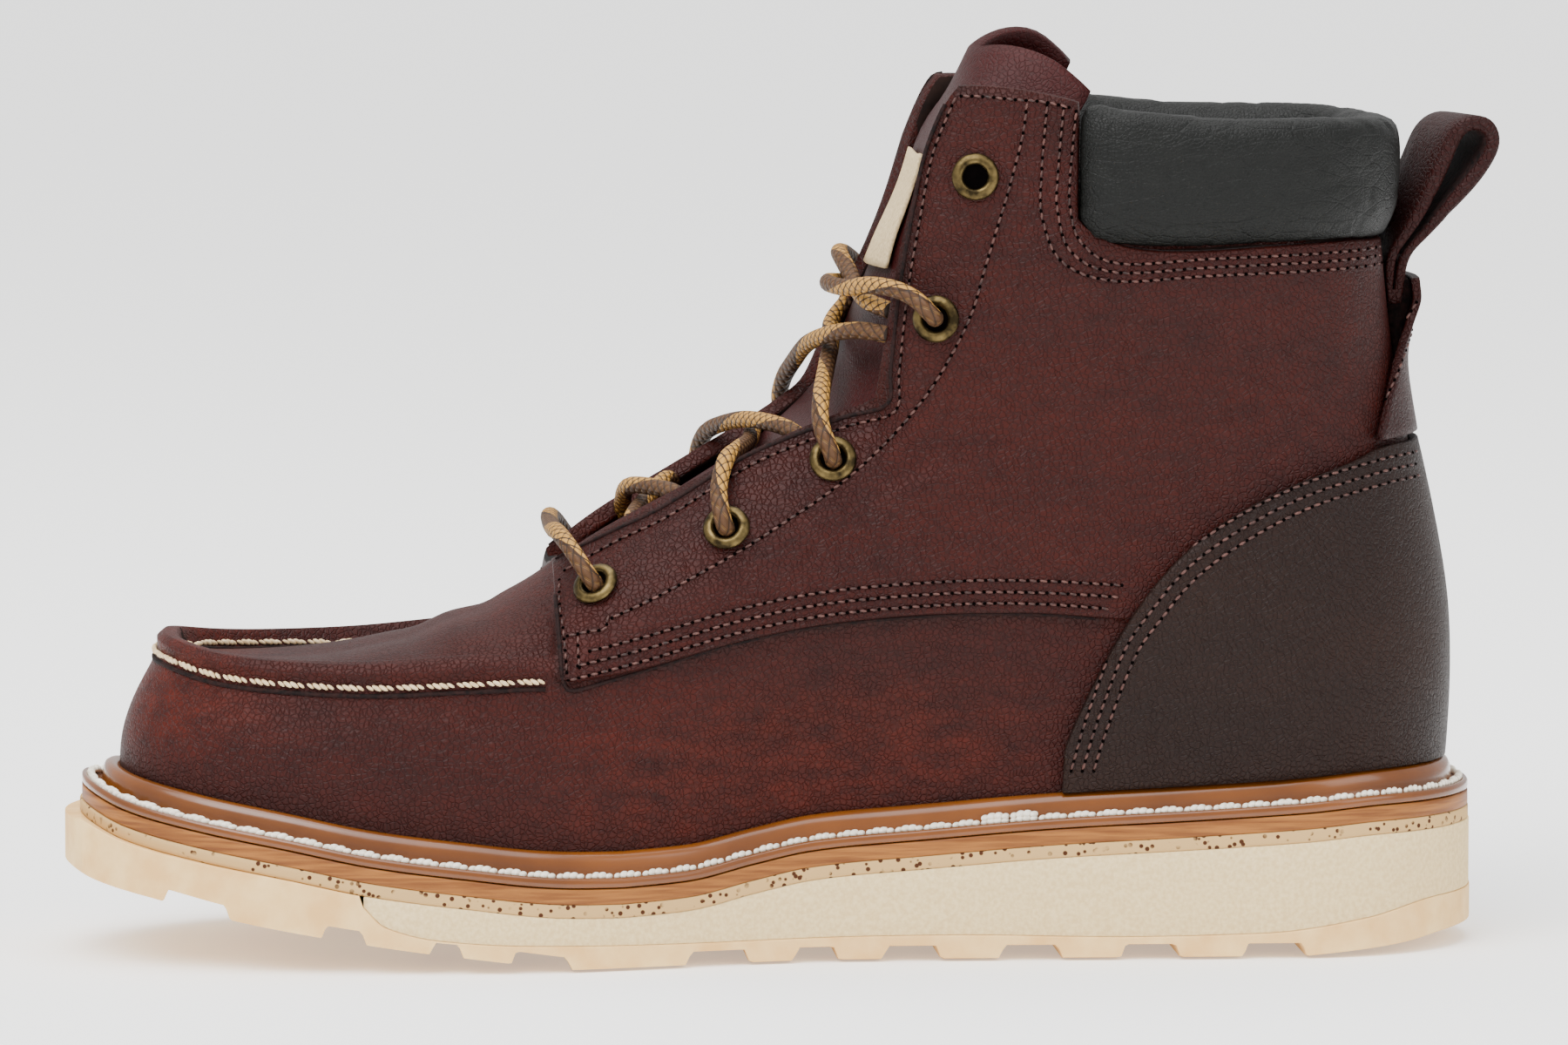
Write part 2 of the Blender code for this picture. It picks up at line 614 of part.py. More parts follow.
def make_tread():
    shares = {round((1 - math.cos(math.pi * w)) / 2, 5) for w in SOLE_STATIONS}
    for side in (-1, 1):
        for start, end in zip(GROOVES[side]["start"], GROOVES[side]["end"]):
            shares.update((start, start + GROOVE_SLOPE, end - GROOVE_SLOPE, end))
    step = GAP / SOLE_LENGTH
    shares.update((WEDGE_AT, WEDGE_AT + step))
    ordered = []
    for share in sorted(shares):
        fixed = share in (WEDGE_AT, WEDGE_AT + step)
        if ordered and share - ordered[-1] < 0.0022 and not fixed:
            continue
        ordered.append(share)
    sections = []
    for share in ordered:
        w = math.acos(1 - 2 * share) / math.pi
        x, inner_edge = plan("sole", -w, *TREAD_EDGE)
        outer_edge = plan("sole", w, *TREAD_EDGE)[1]
        middle = centre(x)
        floor = ground(x)
        edges = {-1: inner_edge - middle, 1: outer_edge - middle}
        loop = []
        for side, part in ((-1, 1.0), (-1, RIB_FOOT), (-1, RIB_HALF), (1, RIB_HALF), (1, RIB_FOOT), (1, 1.0)):
            lift = 0.0 if part == RIB_HALF else lug_lift(side, share)
            loop.append(Vector((x, middle + edges[side] * part, floor + lift)))
        top = tread_top(x)
        loop += [Vector((x, middle + edges[side], top)) for side in (1, -1)]
        sections.append(loop)
    return loft("tread", sections, "tread", flat_ends=True)


def make_sole():
    make_tread()
    slab("wedge", lambda x: tread_top(x) + GAP, lambda x: slip_foot(x) - GAP, WEDGE_EDGE, "foam",
         WEDGE_AT + 2 * GAP / SOLE_LENGTH)
    slab("slip_sole", slip_foot, lambda x: platform(x) - GAP, SLIP_EDGE, "foam")
    slab("midsole", platform, midsole_top, MIDSOLE_EDGE, "midsole")


def make_insole():
    sections = []
    for w in SOLE_STATIONS:
        loop = []
        for height, side in ((0.0, -1), (0.0, 1), (INSOLE, 1), (INSOLE, -1)):
            x, y = plan("feather", side * w, WALL + 2 * GAP, WALL + 2 * GAP)
            loop.append(Vector((x, y, midsole_top(x) + GAP + height)))
        sections.append(loop)
    return loft("insole", sections, "board")


# Upper
RIDGE = ((0.08, 0.72), (0.34, 1.0), (0.72, 0.94), (1.0, 0.0))
LOWER_ROWS = (0.0, 0.5, 1.0, 1.35, 1.7, 2.0)
RING = [-w for w in reversed(STATIONS)] + [w for w in STATIONS[1:-1]]


def rows_up(w):
    """The heights v of one column's rows: below the seam, over the ridge and above it."""
    seam = length_at_v(w, 2.0)
    rows = list(LOWER_ROWS)
    rows += [v_at_length(w, seam + RIDGE_WIDTH * across) for across, _ in RIDGE]
    ridge_end = rows[-1]
    if abs(w) < QUARTER_AT:
        rows += [ridge_end + (5 - ridge_end) * k / 6 for k in range(1, 7)]
    else:
        rows += [(ridge_end + 3) / 2, 3.0, 3.5, 4.0, 4.5, 5.0]
    return rows


def ridge_lift(w, row):
    k = row - len(LOWER_ROWS)
    if not 0 <= k < len(RIDGE):
        return 0.0
    fade = 1 - 0.55 * ease((abs(w) - 0.33) / (QUARTER_AT - 0.33))
    return RIDGE_HEIGHT * RIDGE[k][1] * fade


def outside(w, row):
    v = rows_up(w)[row]
    point = surface(w, v)
    out = outward(w, v)
    if abs(w) <= QUARTER_AT:
        return point + (out + Vector((0, 0, 1))).normalized() * ridge_lift(w, row)
    return point + out * overlay(w, v)


def inside(w, row):
    v = rows_up(w)[row]
    point = skin(w, v, -WALL)
    if row == 0:
        point.z = surface(w, v).z
    return point


def make_upper():
    """One hollow wall, open underneath, at the throat and at the collar."""
    count = len(rows_up(0.0))
    outer = [[outside(w, row) for row in range(count)] for w in RING]
    inner = [[inside(w, row) for row in range(count)] for w in RING]
    cuff_row = rows_up(0.7).index(4.0)

    def present(c, row):
        near = min(abs(RING[c]), abs(RING[(c + 1) % len(RING)]))
        return not (near >= COLLAR_AT - 1e-6 and row >= cuff_row)

    faces = []
    for c in range(len(RING)):
        n = (c + 1) % len(RING)
        near = max(abs(RING[c]), abs(RING[n]))
        for row in range(count - 1):
            if not present(c, row):
                continue
            faces.append([outer[c][row], outer[n][row], outer[n][row + 1], outer[c][row + 1]])
            faces.append([inner[c][row], inner[n][row], inner[n][row + 1], inner[c][row + 1]])
            if row == 0:
                faces.append([outer[c][0], outer[n][0], inner[n][0], inner[c][0]])
            closes = row == count - 2 and near >= QUARTER_AT
            if closes or (row + 1 == cuff_row and not present(c, row + 1)):
                faces.append([outer[c][row + 1], outer[n][row + 1], inner[n][row + 1], inner[c][row + 1]])
            for side, neighbour in ((c, c - 1), (n, n)):
                if not present(neighbour % len(RING), row):
                    faces.append([outer[side][row], outer[side][row + 1], inner[side][row + 1], inner[side][row]])
    return solid("upper", faces, "leather")


def v_at_height(w, height):
    """The place up a column where it reaches a height."""
    low, high = 0.0, 5.0
    for _ in range(24):
        middle = (low + high) / 2
        if surface(w, middle).z < height:
            low = middle
        else:
            high = middle
    return (low + high) / 2


def welt_top(x):
    return midsole_top(x) + GAP + FLANGE + BEAD_HEIGHT


def make_welt():
    """A flange on the midsole with a raised bead against the upper."""
    sections = []
    for w in RING:
        edge = Vector((*plan("sole", w, *MIDSOLE_EDGE), 0))
        floor = midsole_top(edge.x) + GAP
        foot = skin(w, 0.0, GAP)
        foot.z = 0
        out = edge - foot
        reach = out.length
        out.normalize()
        loop = [(reach, 0.0), (reach, FLANGE), (BEAD_WIDTH + 0.5 * MM, FLANGE * 0.75)]
        loop += [(BEAD_WIDTH, FLANGE + 0.55 * BEAD_HEIGHT), (0.65 * BEAD_WIDTH, FLANGE + 0.95 * BEAD_HEIGHT)]
        section = []
        for away, up in loop:
            point = foot + out * away
            point.z = midsole_top(point.x) + GAP + up
            section.append(point)
        for up in (FLANGE + BEAD_HEIGHT, 0.4 * (FLANGE + BEAD_HEIGHT), 0.0):
            height = midsole_top(foot.x) + GAP + up
            point = skin(w, v_at_height(w, height), GAP)
            if up == 0.0:
                point = foot.copy()
            point.z = height
            section.append(point)
        section[0].z = floor
        sections.append(section)
    return loft("welt", sections, "welt", ring=True)


def edge_v(w, edge, back):
    """Where a column crosses an edge drawn in side view."""
    low, high = 0.2, 4.0
    for _ in range(24):
        middle = (low + high) / 2
        place = surface(w, middle)
        share = x_to_share(place.x)
        height = back if share > edge["along"][-1] else read(edge, "height", share, "along")
        if place.z < BOOT_HEIGHT * height:
            low = middle
        else:
            high = middle
    return (low + high) / 2


def layer(w, v, low, high, ahead=0.0):
    """A pair of points over the outside of the upper, lifted as far as the upper is a little higher up."""
    lift = overlay(w, v + ahead)
    out = outward(w, v)
    place = surface(w, v)
    return place + out * (lift + low), place + out * (lift + high)


def make_counter():
    outer, inner = [], []
    half = [COUNTER_FRONT] + [w for w in STATIONS if COUNTER_FRONT + 0.004 < w < 1]
    for w in half + [1.0] + [2 - w for w in reversed(half)]:
        w = wrap(w)
        place = surface(w, 0.0)
        low = v_at_height(w, welt_top(place.x) + GAP)
        high = edge_v(w, COUNTER_EDGE, COUNTER_BACK)
        pairs = []
        for k in range(COUNTER_ROWS + 1):
            v = low + (high - low) * k / COUNTER_ROWS
            pairs.append(layer(w, v, COVER_GAP, COVER_GAP + COUNTER, COUNTER_AHEAD))
        inner.append([pair[0] for pair in pairs])
        outer.append([pair[1] for pair in pairs])
    return patch("counter", outer, inner, "dark leather")


def make_backstay():
    """A tapered panel over the back seam. Its top stands out over the strap's foot."""
    outer, inner = [], []
    heights = [0.0, 0.25, 0.5, 0.72, 0.84, 0.92, 1.0]
    bottom = BOOT_HEIGHT * COUNTER_BACK + GAP + 0.3 * COUNTER
    top = BOOT_HEIGHT * BACKSTAY_EDGE["height"][-1]
    for k in range(9):
        across = -1 + k / 4
        column_outer, column_inner = [], []
        for share in heights:
            height = bottom + (top - bottom) * share
            edge = 1 - read(BACKSTAY_EDGE, "station", height / BOOT_HEIGHT, "height")
            w = wrap(1 + edge * across)
            v = max(v_at_height(w, height), edge_v(w, COUNTER_EDGE, COUNTER_BACK) + 0.03 if share == 0 else 0)
            lift = BACKSTAY_LIFT * ease((height / BOOT_HEIGHT - 0.725) / 0.045)
            pair = layer(w, v, BACKSTAY_GAP + lift, BACKSTAY_GAP + lift + BACKSTAY)
            column_inner.append(pair[0])
            column_outer.append(pair[1])
        outer.append(column_outer)
        inner.append(column_inner)
    return patch("backstay", outer, inner, "leather")


def make_collar():
    """A padded roll that fills the cut in the shaft, from the cuff line to the rim."""
    rolled = (
        (4.03, 0.0), (4.14, 0.75), (4.45, 1.0), (4.80, 0.9), (4.97, 0.1),
        (4.97, -0.55), (4.80, -0.9), (4.45, -1.0), (4.14, -0.85), (4.03, -0.26),
    )
    sections = []
    first = COLLAR_AT + 0.0022
    half = [first, 0.640] + [w for w in STATIONS if 0.645 < w < 1]
    for w in half + [1.0] + [2 - w for w in reversed(half)]:
        w = wrap(w)
        section = []
        for v, depth in rolled:
            offset = depth * (COLLAR_SWELL if depth > 0 else COLLAR_PAD)
            if abs(w) < first + 0.001 and depth < 0:
                offset = max(offset, -0.55 * COLLAR_PAD)
            section.append(surface(w, v) + outward(w, v) * (offset + overlay(w, v) * 0.6))
        sections.append(section)
    return loft("collar", sections, "pad")


def shaft_back(y, height):
    """The place of the shaft's back surface at a height, off its middle."""
    low, high = 0.85, 1.0
    side = -1 if y < 0 else 1
    for _ in range(24):
        middle = (low + high) / 2
        if abs(surface(side * middle, v_at_height(side * middle, height)).y) > abs(y):
            low = middle
        else:
            high = middle
    w = side * (low + high) / 2
    return surface(w, v_at_height(w, height)).x


def make_strap():
    """A folded strip sewn to the back of the shaft, its feet under the backstay."""
    def foot(row, name):
        def place(y):
            level = "inner_height" if name.endswith("inside") else "height"
            height = BOOT_HEIGHT * STRAP_FOOT[level][row]
            depth = BOOT_HEIGHT * STRAP_FOOT[name][row]
            return Vector((shaft_back(y, height) + COVER_GAP + depth, y, height))
        return place

    def loop(row, name):
        def place(y):
            along = share_to_x(1) + BOOT_HEIGHT * STRAP_LOOP[name + "_x"][row]
            turn = STRAP_TURN * (y / STRAP_WIDTH + 0.5)
            return Vector((along - turn, y, BOOT_HEIGHT * STRAP_LOOP[name + "_z"][row]))
        return place

    feet = range(len(STRAP_FOOT["height"]))
    pairs = [(foot(row, "front"), foot(row, "front_inside")) for row in feet]
    pairs += [(loop(row, "out"), loop(row, "in")) for row in range(len(STRAP_LOOP["out_x"]))]
    pairs += [(foot(row, "back"), foot(row, "back_inside")) for row in reversed(feet)]
    half = STRAP_WIDTH / 2
    sections = []
    for out, inside_point in pairs:
        sections.append([out(-half), out(0.0), out(half), inside_point(half), inside_point(0.0), inside_point(-half)])
    return loft("pull_loop", sections, "leather", ring=True)


# Places on the upper given in side view
@lru_cache(maxsize=None)
def net(side):
    return [(surface(side * t, v), side * t, v)
            for t in [QUARTER_AT + 0.001 + 0.009 * i for i in range(70)] for v in [2 + 0.1 * k for k in range(31)]]


def locate(side, x, z):
    """The column and height of the quarter's surface that show at (x, z) from the side."""
    _, w, v = min(net(side), key=lambda row: (row[0].x - x) ** 2 + (row[0].z - z) ** 2)
    for _ in range(6):
        here = surface(w, v)
        step_w = surface(w + 0.001 * side, v) - here
        up = 0.01 if v < 4.9 else -0.01
        step_v = surface(w, v + up) - here
        det = step_w.x * step_v.z - step_v.x * step_w.z
        if abs(det) < 1e-14:
            break
        miss_x, miss_z = x - here.x, z - here.z
        w += side * 0.001 * (miss_x * step_v.z - step_v.x * miss_z) / det
        v = min(max(v + up * (step_w.x * miss_z - miss_x * step_w.z) / det, 2.0), 5.0)
        w = side * min(max(abs(w), QUARTER_AT + 0.0005), 0.999)
    return w, v


def eyelet_seat(side, row):
    along, height = EYELETS[row]
    shift = 0.0
    if side > 0:
        shift = read(TOP_LINE, "flap", EYELET_FLAP[row])
    w, v = locate(side, share_to_x(along - shift), BOOT_HEIGHT * height)
    return surface(w, v) + outward(w, v) * (overlay(w, v) + COVER_GAP), outward(w, v)


def make_eyelets():
    """Five flat rings on each side, on top of the quarters."""
    hole, outer = EYELET_HOLE / 2, EYELET_OUTER / 2
    profile = ((hole, 0.0), (outer, 0.0), (0.88 * outer, 0.8 * EYELET_HEIGHT), (1.15 * hole, EYELET_HEIGHT))
    for side, label in ((-1, "medial"), (1, "lateral")):
        for row in range(len(EYELETS)):
            seat, axis = eyelet_seat(side, row)
            across = axis.orthogonal().normalized()
            other = axis.cross(across)
            sections = []
            for k in range(EYELET_SIDES):
                turn = math.tau * k / EYELET_SIDES
                arm = across * math.cos(turn) + other * math.sin(turn)
                sections.append([seat + arm * radius + axis * height for radius, height in profile])
            loft(f"eyelet_{label}_{row + 1}", sections, "brass", ring=True)


# Tongue
def under(side, x, z, depth):
    w, v = locate(side, x, z)
    return skin(w, v, -depth)


def tongue_grid():
    """Rows of nine points, from the medial wing over the middle to the lateral wing."""
    depth = WALL + TONGUE_CLEARANCE
    rows = []
    for k, station in enumerate(TONGUE_SECTIONS["at"]):
        middle = Vector((share_to_x(TONGUE_SECTIONS["along"][k]), 0, BOOT_HEIGHT * TONGUE_SECTIONS["height"][k]))
        wing = SOLE_LENGTH * TONGUE_SECTIONS["wing"][k]
        halves = {}
        for side in (-1, 1):
            before, after = surface(side * (station - 0.004), 5.0), surface(side * (station + 0.004), 5.0)
            if station - 0.004 < QUARTER_AT:
                before = surface(side * station, 5.0)
            ahead = after - before
            back = Vector((ahead.z, 0, -ahead.x)).normalized()
            edge = skin(side * station, 5.0, -depth)
            if abs(edge.y) > abs(after.y) - 0.95 * depth:
                edge.y = side * (abs(after.y) - 0.95 * depth)
            middle_wing = under(side, edge.x + back.x * wing * 0.5, edge.z + back.z * wing * 0.5, 1.5 * depth)
            tip = under(side, edge.x + back.x * wing, edge.z + back.z * wing, 1.5 * depth)
            half = middle.lerp(edge, 0.5)
            half -= back * 0.22 * abs((edge - middle).dot(back))
            halves[side] = [tip, middle_wing, edge, half]
        rows.append(halves[-1] + [middle] + list(reversed(halves[1])))
    top = []
    for k in (4, 3, 2, 1, 0, 1, 2, 3, 4):
        side = -1 if len(top) < 4 else 1
        top.append(Vector((
            share_to_x(TONGUE_TOP["along"][k]), side * BALL_WIDTH * TONGUE_TOP["half"][k],
            BOOT_HEIGHT * TONGUE_TOP["height"][k],
        )))
    middle_row = [low.lerp(high, 0.55) for low, high in zip(rows[-1], top)]
    return rows + [middle_row, top]


def grid_normal(grid, i, k):
    """Outward normal of a grid of points, forward or upward on the tongue."""
    along = grid[min(i + 1, len(grid) - 1)][k] - grid[max(i - 1, 0)][k]
    across = grid[i][min(k + 1, len(grid[i]) - 1)] - grid[i][max(k - 1, 0)]
    return across.cross(along).normalized() * -1


def make_tongue():
    grid = tongue_grid()
    outer, inner = [], []
    for k in range(9):
        outer.append([grid[i][k] for i in range(len(grid))])
        inner.append([grid[i][k] - grid_normal(grid, i, k) * TONGUE for i in range(len(grid))])
    return patch("tongue", outer, inner, "leather")


def make_patch():
    """A plain label on the front of the tongue."""
    grid = tongue_grid()
    outer, inner = [], []
    for k in range(5):
        across = (-1 + k / 2) * PATCH_HALF
        column_outer, column_inner = [], []
        for share in PATCH_ROWS:
            i = share * (len(grid) - 3)
            low = min(int(i), len(grid) - 2)
            rows = [grid[low][n].lerp(grid[low + 1][n], i - low) for n in range(9)]
            n = 4 + across * 2
            left = int(math.floor(n))
            place = rows[left].lerp(rows[left + 1], n - left)
            out = grid_normal(grid, low, 4)
            column_inner.append(place + out * GAP * 2)
            column_outer.append(place + out * (GAP * 2 + PATCH))
        outer.append(column_outer)
        inner.append(column_inner)
    return patch("tongue_patch", outer, inner, "patch")


# Lace
def smooth(points, steps):
    """A smooth run through the given points."""
    run = []
    for k in range(len(points) - 1):
        before, after = points[max(k - 1, 0)], points[min(k + 2, len(points) - 1)]
        start, end = points[k], points[k + 1]
        for n in range(steps):
            u = n / steps
            run.append(
                (2 * u**3 - 3 * u**2 + 1) * start + (u**3 - 2 * u**2 + u) * (end - before) / 2
                + (3 * u**2 - 2 * u**3) * end + (u**3 - u**2) * (after - start) / 2
            )
    return run + [points[-1]]


def tube(name, points):
    """A closed round bar along a run of points."""
    side = (points[1] - points[0]).orthogonal().normalized()
    sections = []
    for k, point in enumerate(points):
        ahead = (points[min(k + 1, len(points) - 1)] - points[max(k - 1, 0)]).normalized()
        side = (side - ahead * side.dot(ahead)).normalized()
        other = ahead.cross(side)
        turns = [math.tau * n / LACE_SIDES for n in range(LACE_SIDES)]
        sections.append([point + (side * math.cos(turn) + other * math.sin(turn)) * LACE / 2 for turn in turns])
    return loft(name, sections, "cord", flat_ends=True)


def throat(side, station, across, lift):
    """A place over the tongue, with its lift off the line between the throat's edges."""
    middle = Vector((
        share_to_x(read(TONGUE_SECTIONS, "along", station)), 0,
        BOOT_HEIGHT * read(TONGUE_SECTIONS, "height", station),
    ))
    edge = surface((1 if side * across > 0 else -1) * station, 5.0)
    before = surface(-(station - 0.006), 5.0)
    ahead = surface(-(station + 0.006), 5.0) - before
    out = Vector((-ahead.z, 0, ahead.x)).normalized()
    return middle.lerp(edge, abs(across)) + out * lift


def strand_ends(side, row, station):
    """The two ends of a strand's run from an eyelet over the quarter's edge."""
    seat, axis = eyelet_seat(side, row)
    edge = surface(side * station, 5.0)
    clear = LACE / 2 + LACE_CLEARANCE
    return [seat + axis * (EYELET_HEIGHT + clear), edge + outward(side * station, 5.0) * (QUARTER + clear)]


def strand(side, row):
    """From an eyelet of one row over the tongue to the other edge, at the next row."""
    start, end = CROSSINGS["start"][row], CROSSINGS["end"][row]
    level = CROSSINGS["high" if side == CROSSINGS["over"][row] else "low"][row]
    inner = row == 0
    points = [] if inner else strand_ends(side, row, start)
    for across, rise in zip(STRAND["across"], STRAND["rise"]):
        if across < -0.9:
            if not inner:
                continue
            across = -STRAND["across"][-1]
        lift = level * (1 - 0.55 * across ** 2)
        points.append(throat(-side, start + (end - start) * rise, across, lift))
    return smooth(points, 2)


def joined(name, first, second):
    """Two bars that touch, as one solid."""
    body = tube(name, first)
    other = tube("other_strand", second)
    union = body.modifiers.new("union", "BOOLEAN")
    union.operation = "UNION"
    union.solver = "EXACT"
    union.object = other
    bpy.context.view_layer.update()
    evaluated = body.evaluated_get(bpy.context.evaluated_depsgraph_get())
    mesh = bpy.data.meshes.new_from_object(evaluated)
    body.modifiers.clear()
    body.data = mesh
    bpy.data.objects.remove(other)


def make_lace():
    """A bar over the throat's front, three crossings and the two strands of a half knot."""
    bar = []
    for side in (-1, 1):
        ends = strand_ends(side, 0, BAR_AT)
        bar.append(ends if side < 0 else list(reversed(ends)))
    crest = Vector((share_to_x(BAR_CREST), 0, BOOT_HEIGHT * read(VAMP_LINE, "height", LAST_VAMP) + BAR_RISE))
    tube("lace_bar", smooth(bar[0] + [crest] + bar[1], 2))
    for row in range(len(CROSSINGS["start"])):
        joined(f"lace_cross_{row + 1}", strand(-1, row), strand(1, row))
    for name, route in KNOT.items():
        cord(name, [
            Vector((share_to_x(along), BALL_WIDTH * across, BOOT_HEIGHT * height)) for along, across, height in route
        ])


def cord(name, points):
    """A length of cord as a curve with a round section."""
    curve = bpy.data.curves.new(name, "CURVE")
    curve.dimensions = "3D"
    curve.bevel_depth = LACE / 2
    curve.bevel_resolution = 2
    curve.use_fill_caps = True
    spline = curve.splines.new("POLY")
    spline.points.add(len(points) - 1)
    for place, point in zip(spline.points, points):
        place.co = (*point, 1)
    curve.materials.append(material("cord"))
    bpy.context.collection.objects.link(bpy.data.objects.new(name, curve))


def main():
    for old in list(bpy.data.objects):
        bpy.data.objects.remove(old)
    make_sole()
    make_insole()
    make_upper()
    make_welt()
    make_counter()
    make_backstay()
    make_collar()
    make_strap()
    make_tongue()
    make_patch()
    make_eyelets()
    make_lace()


main()
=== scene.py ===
# Moc-toe work boot, right foot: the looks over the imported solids.
import math

import bmesh
import bpy
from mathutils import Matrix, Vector, noise
from mathutils.bvhtree import BVHTree
from mathutils.kdtree import KDTree


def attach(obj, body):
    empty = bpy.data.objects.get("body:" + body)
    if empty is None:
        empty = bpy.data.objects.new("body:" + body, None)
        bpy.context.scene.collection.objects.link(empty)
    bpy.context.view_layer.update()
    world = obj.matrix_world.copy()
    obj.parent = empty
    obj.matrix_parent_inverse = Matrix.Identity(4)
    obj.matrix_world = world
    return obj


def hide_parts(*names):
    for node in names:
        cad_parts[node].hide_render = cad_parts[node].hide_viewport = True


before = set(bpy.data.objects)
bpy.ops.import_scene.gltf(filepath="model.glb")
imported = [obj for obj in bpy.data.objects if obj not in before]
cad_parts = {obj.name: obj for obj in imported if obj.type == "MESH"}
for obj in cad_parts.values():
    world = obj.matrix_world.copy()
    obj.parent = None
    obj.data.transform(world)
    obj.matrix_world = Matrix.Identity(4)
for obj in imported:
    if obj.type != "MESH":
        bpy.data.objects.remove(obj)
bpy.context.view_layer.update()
mm = 0.001
print("frame loaded")


# Camera at the photograph's angle: a long lens, a little above the boot
cameraView = {
    "place": (-0.1395, -1.9951, 0.275),
    "lens": 214.2,
    "heading": 4,
    "pitch": 5.28,
    "shift": 0.0089,
}


def makeCamera(view):
    data = bpy.data.cameras.new("camera")
    data.lens = view["lens"]
    data.sensor_width = 36.0
    data.shift_x = view["shift"]
    data.clip_end = 20.0
    camera = bpy.data.objects.new("camera", data)
    camera.location = view["place"]
    camera.rotation_euler = (math.radians(90 - view["pitch"]), 0, math.radians(-view["heading"]))
    bpy.context.scene.collection.objects.link(camera)
    bpy.context.scene.camera = camera


makeCamera(cameraView)
print("camera made")


# Small helpers for points, meshes and nodes
def hexColour(text):
    values = [int(text[i:i + 2], 16) / 255 for i in (0, 2, 4)]
    linear = [v / 12.92 if v <= 0.04045 else ((v + 0.055) / 1.055) ** 2.4 for v in values]
    return (*linear, 1.0)


def ease(value):
    value = min(max(value, 0.0), 1.0)
    return value * value * (3 - 2 * value)


def zone(place, ramps):
    # a product of soft ramps, each an axis, a start and a length that is below 0 where it falls
    return math.prod(ease((place[axis] - start) / over) for axis, start, over in ramps)


def hermite(u, start, leaving, end, arriving):
    # a smooth step from start to end with the slopes given at both
    return ((2 * u**3 - 3 * u**2 + 1) * start + (u**3 - 2 * u**2 + u) * leaving
            + (3 * u**2 - 2 * u**3) * end + (u**3 - u**2) * arriving)


def addNode(tree, kind, values=None, **settings):
    node = tree.nodes.new(kind)
    for name, value in settings.items():
        setattr(node, name, value)
    for socket, value in (values or {}).items():
        target = node.inputs[socket]
        if isinstance(value, bpy.types.NodeSocket):
            tree.links.new(value, target)
        else:
            target.default_value = value
    return node


def newMaterial(name, roughness, shine=0.5, metallic=0.0, coat=0.0, coatRoughness=0.2):
    material = bpy.data.materials.new(name)
    material.use_nodes = True
    tree = material.node_tree
    shader = tree.nodes["Principled BSDF"]
    values = {"Roughness": roughness, "Specular IOR Level": shine, "Metallic": metallic, "Coat Weight": coat,
              "Coat Roughness": coatRoughness}
    for socket, amount in values.items():
        shader.inputs[socket].default_value = amount
    return material, tree, shader


def mixColour(tree, factor, first, second):
    # a blend of two colours, each a socket or a hexadecimal text
    node = addNode(tree, "ShaderNodeMix", data_type="RGBA")
    for index, given in ((0, factor), (6, first), (7, second)):
        if isinstance(given, bpy.types.NodeSocket):
            tree.links.new(given, node.inputs[index])
        else:
            node.inputs[index].default_value = hexColour(given)
    return node.outputs[2]


def placeOn(tree, **change):
    # a place on the piece in metres, stretched or turned where that is given
    place = addNode(tree, "ShaderNodeTexCoord").outputs["Object"]
    if change:
        place = addNode(tree, "ShaderNodeMapping", {"Vector": place, **change}).outputs[0]
    return place


def noiseOn(tree, place, scale, detail, **more):
    values = {"Vector": place, "Scale": scale, "Detail": detail, **more}
    return addNode(tree, "ShaderNodeTexNoise", values).outputs


def cellEdges(tree, place, scale):
    values = {"Vector": place, "Scale": scale}
    return addNode(tree, "ShaderNodeTexVoronoi", values, feature="DISTANCE_TO_EDGE").outputs["Distance"]


def sumOf(tree, operation, *values):
    return addNode(tree, "ShaderNodeMath", dict(enumerate(values)), operation=operation).outputs[0]


def coverWith(tree, shader, colour, height=None, strength=1.0, depth=0.1):
    # links colour and relief, the relief's depth in millimetres
    tree.links.new(colour, shader.inputs["Base Color"])
    if height is not None:
        values = {"Height": height, "Strength": strength, "Distance": depth * mm}
        tree.links.new(addNode(tree, "ShaderNodeBump", values).outputs[0], shader.inputs["Normal"])


def rampOf(tree, source, low, high):
    node = addNode(tree, "ShaderNodeMapRange", {"Value": source, "From Min": low, "From Max": high})
    return node.outputs["Result"]


def joinMesh(name, meshObject, material):
    meshObject.name = name
    meshObject.data.materials.clear()
    meshObject.data.materials.append(material)
    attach(meshObject, "root")
    return meshObject


def meshFrom(name, bm):
    mesh = bpy.data.meshes.new(name)
    bm.to_mesh(mesh)
    bm.free()
    made = bpy.data.objects.new(name, mesh)
    bpy.context.scene.collection.objects.link(made)
    mesh.shade_smooth()
    return made


def closedMesh(name, bm):
    bmesh.ops.recalc_face_normals(bm, faces=bm.faces)
    return meshFrom(name, bm)


def applied(meshObject):
    depsgraph = bpy.context.evaluated_depsgraph_get()
    mesh = bpy.data.meshes.new_from_object(meshObject.evaluated_get(depsgraph))
    meshObject.modifiers.clear()
    meshObject.data = mesh
    return meshObject


def rounded(meshObject, levels):
    modifier = meshObject.modifiers.new("rounding", "SUBSURF")
    modifier.levels = levels
    modifier.render_levels = levels
    bpy.context.view_layer.update()
    return applied(meshObject)


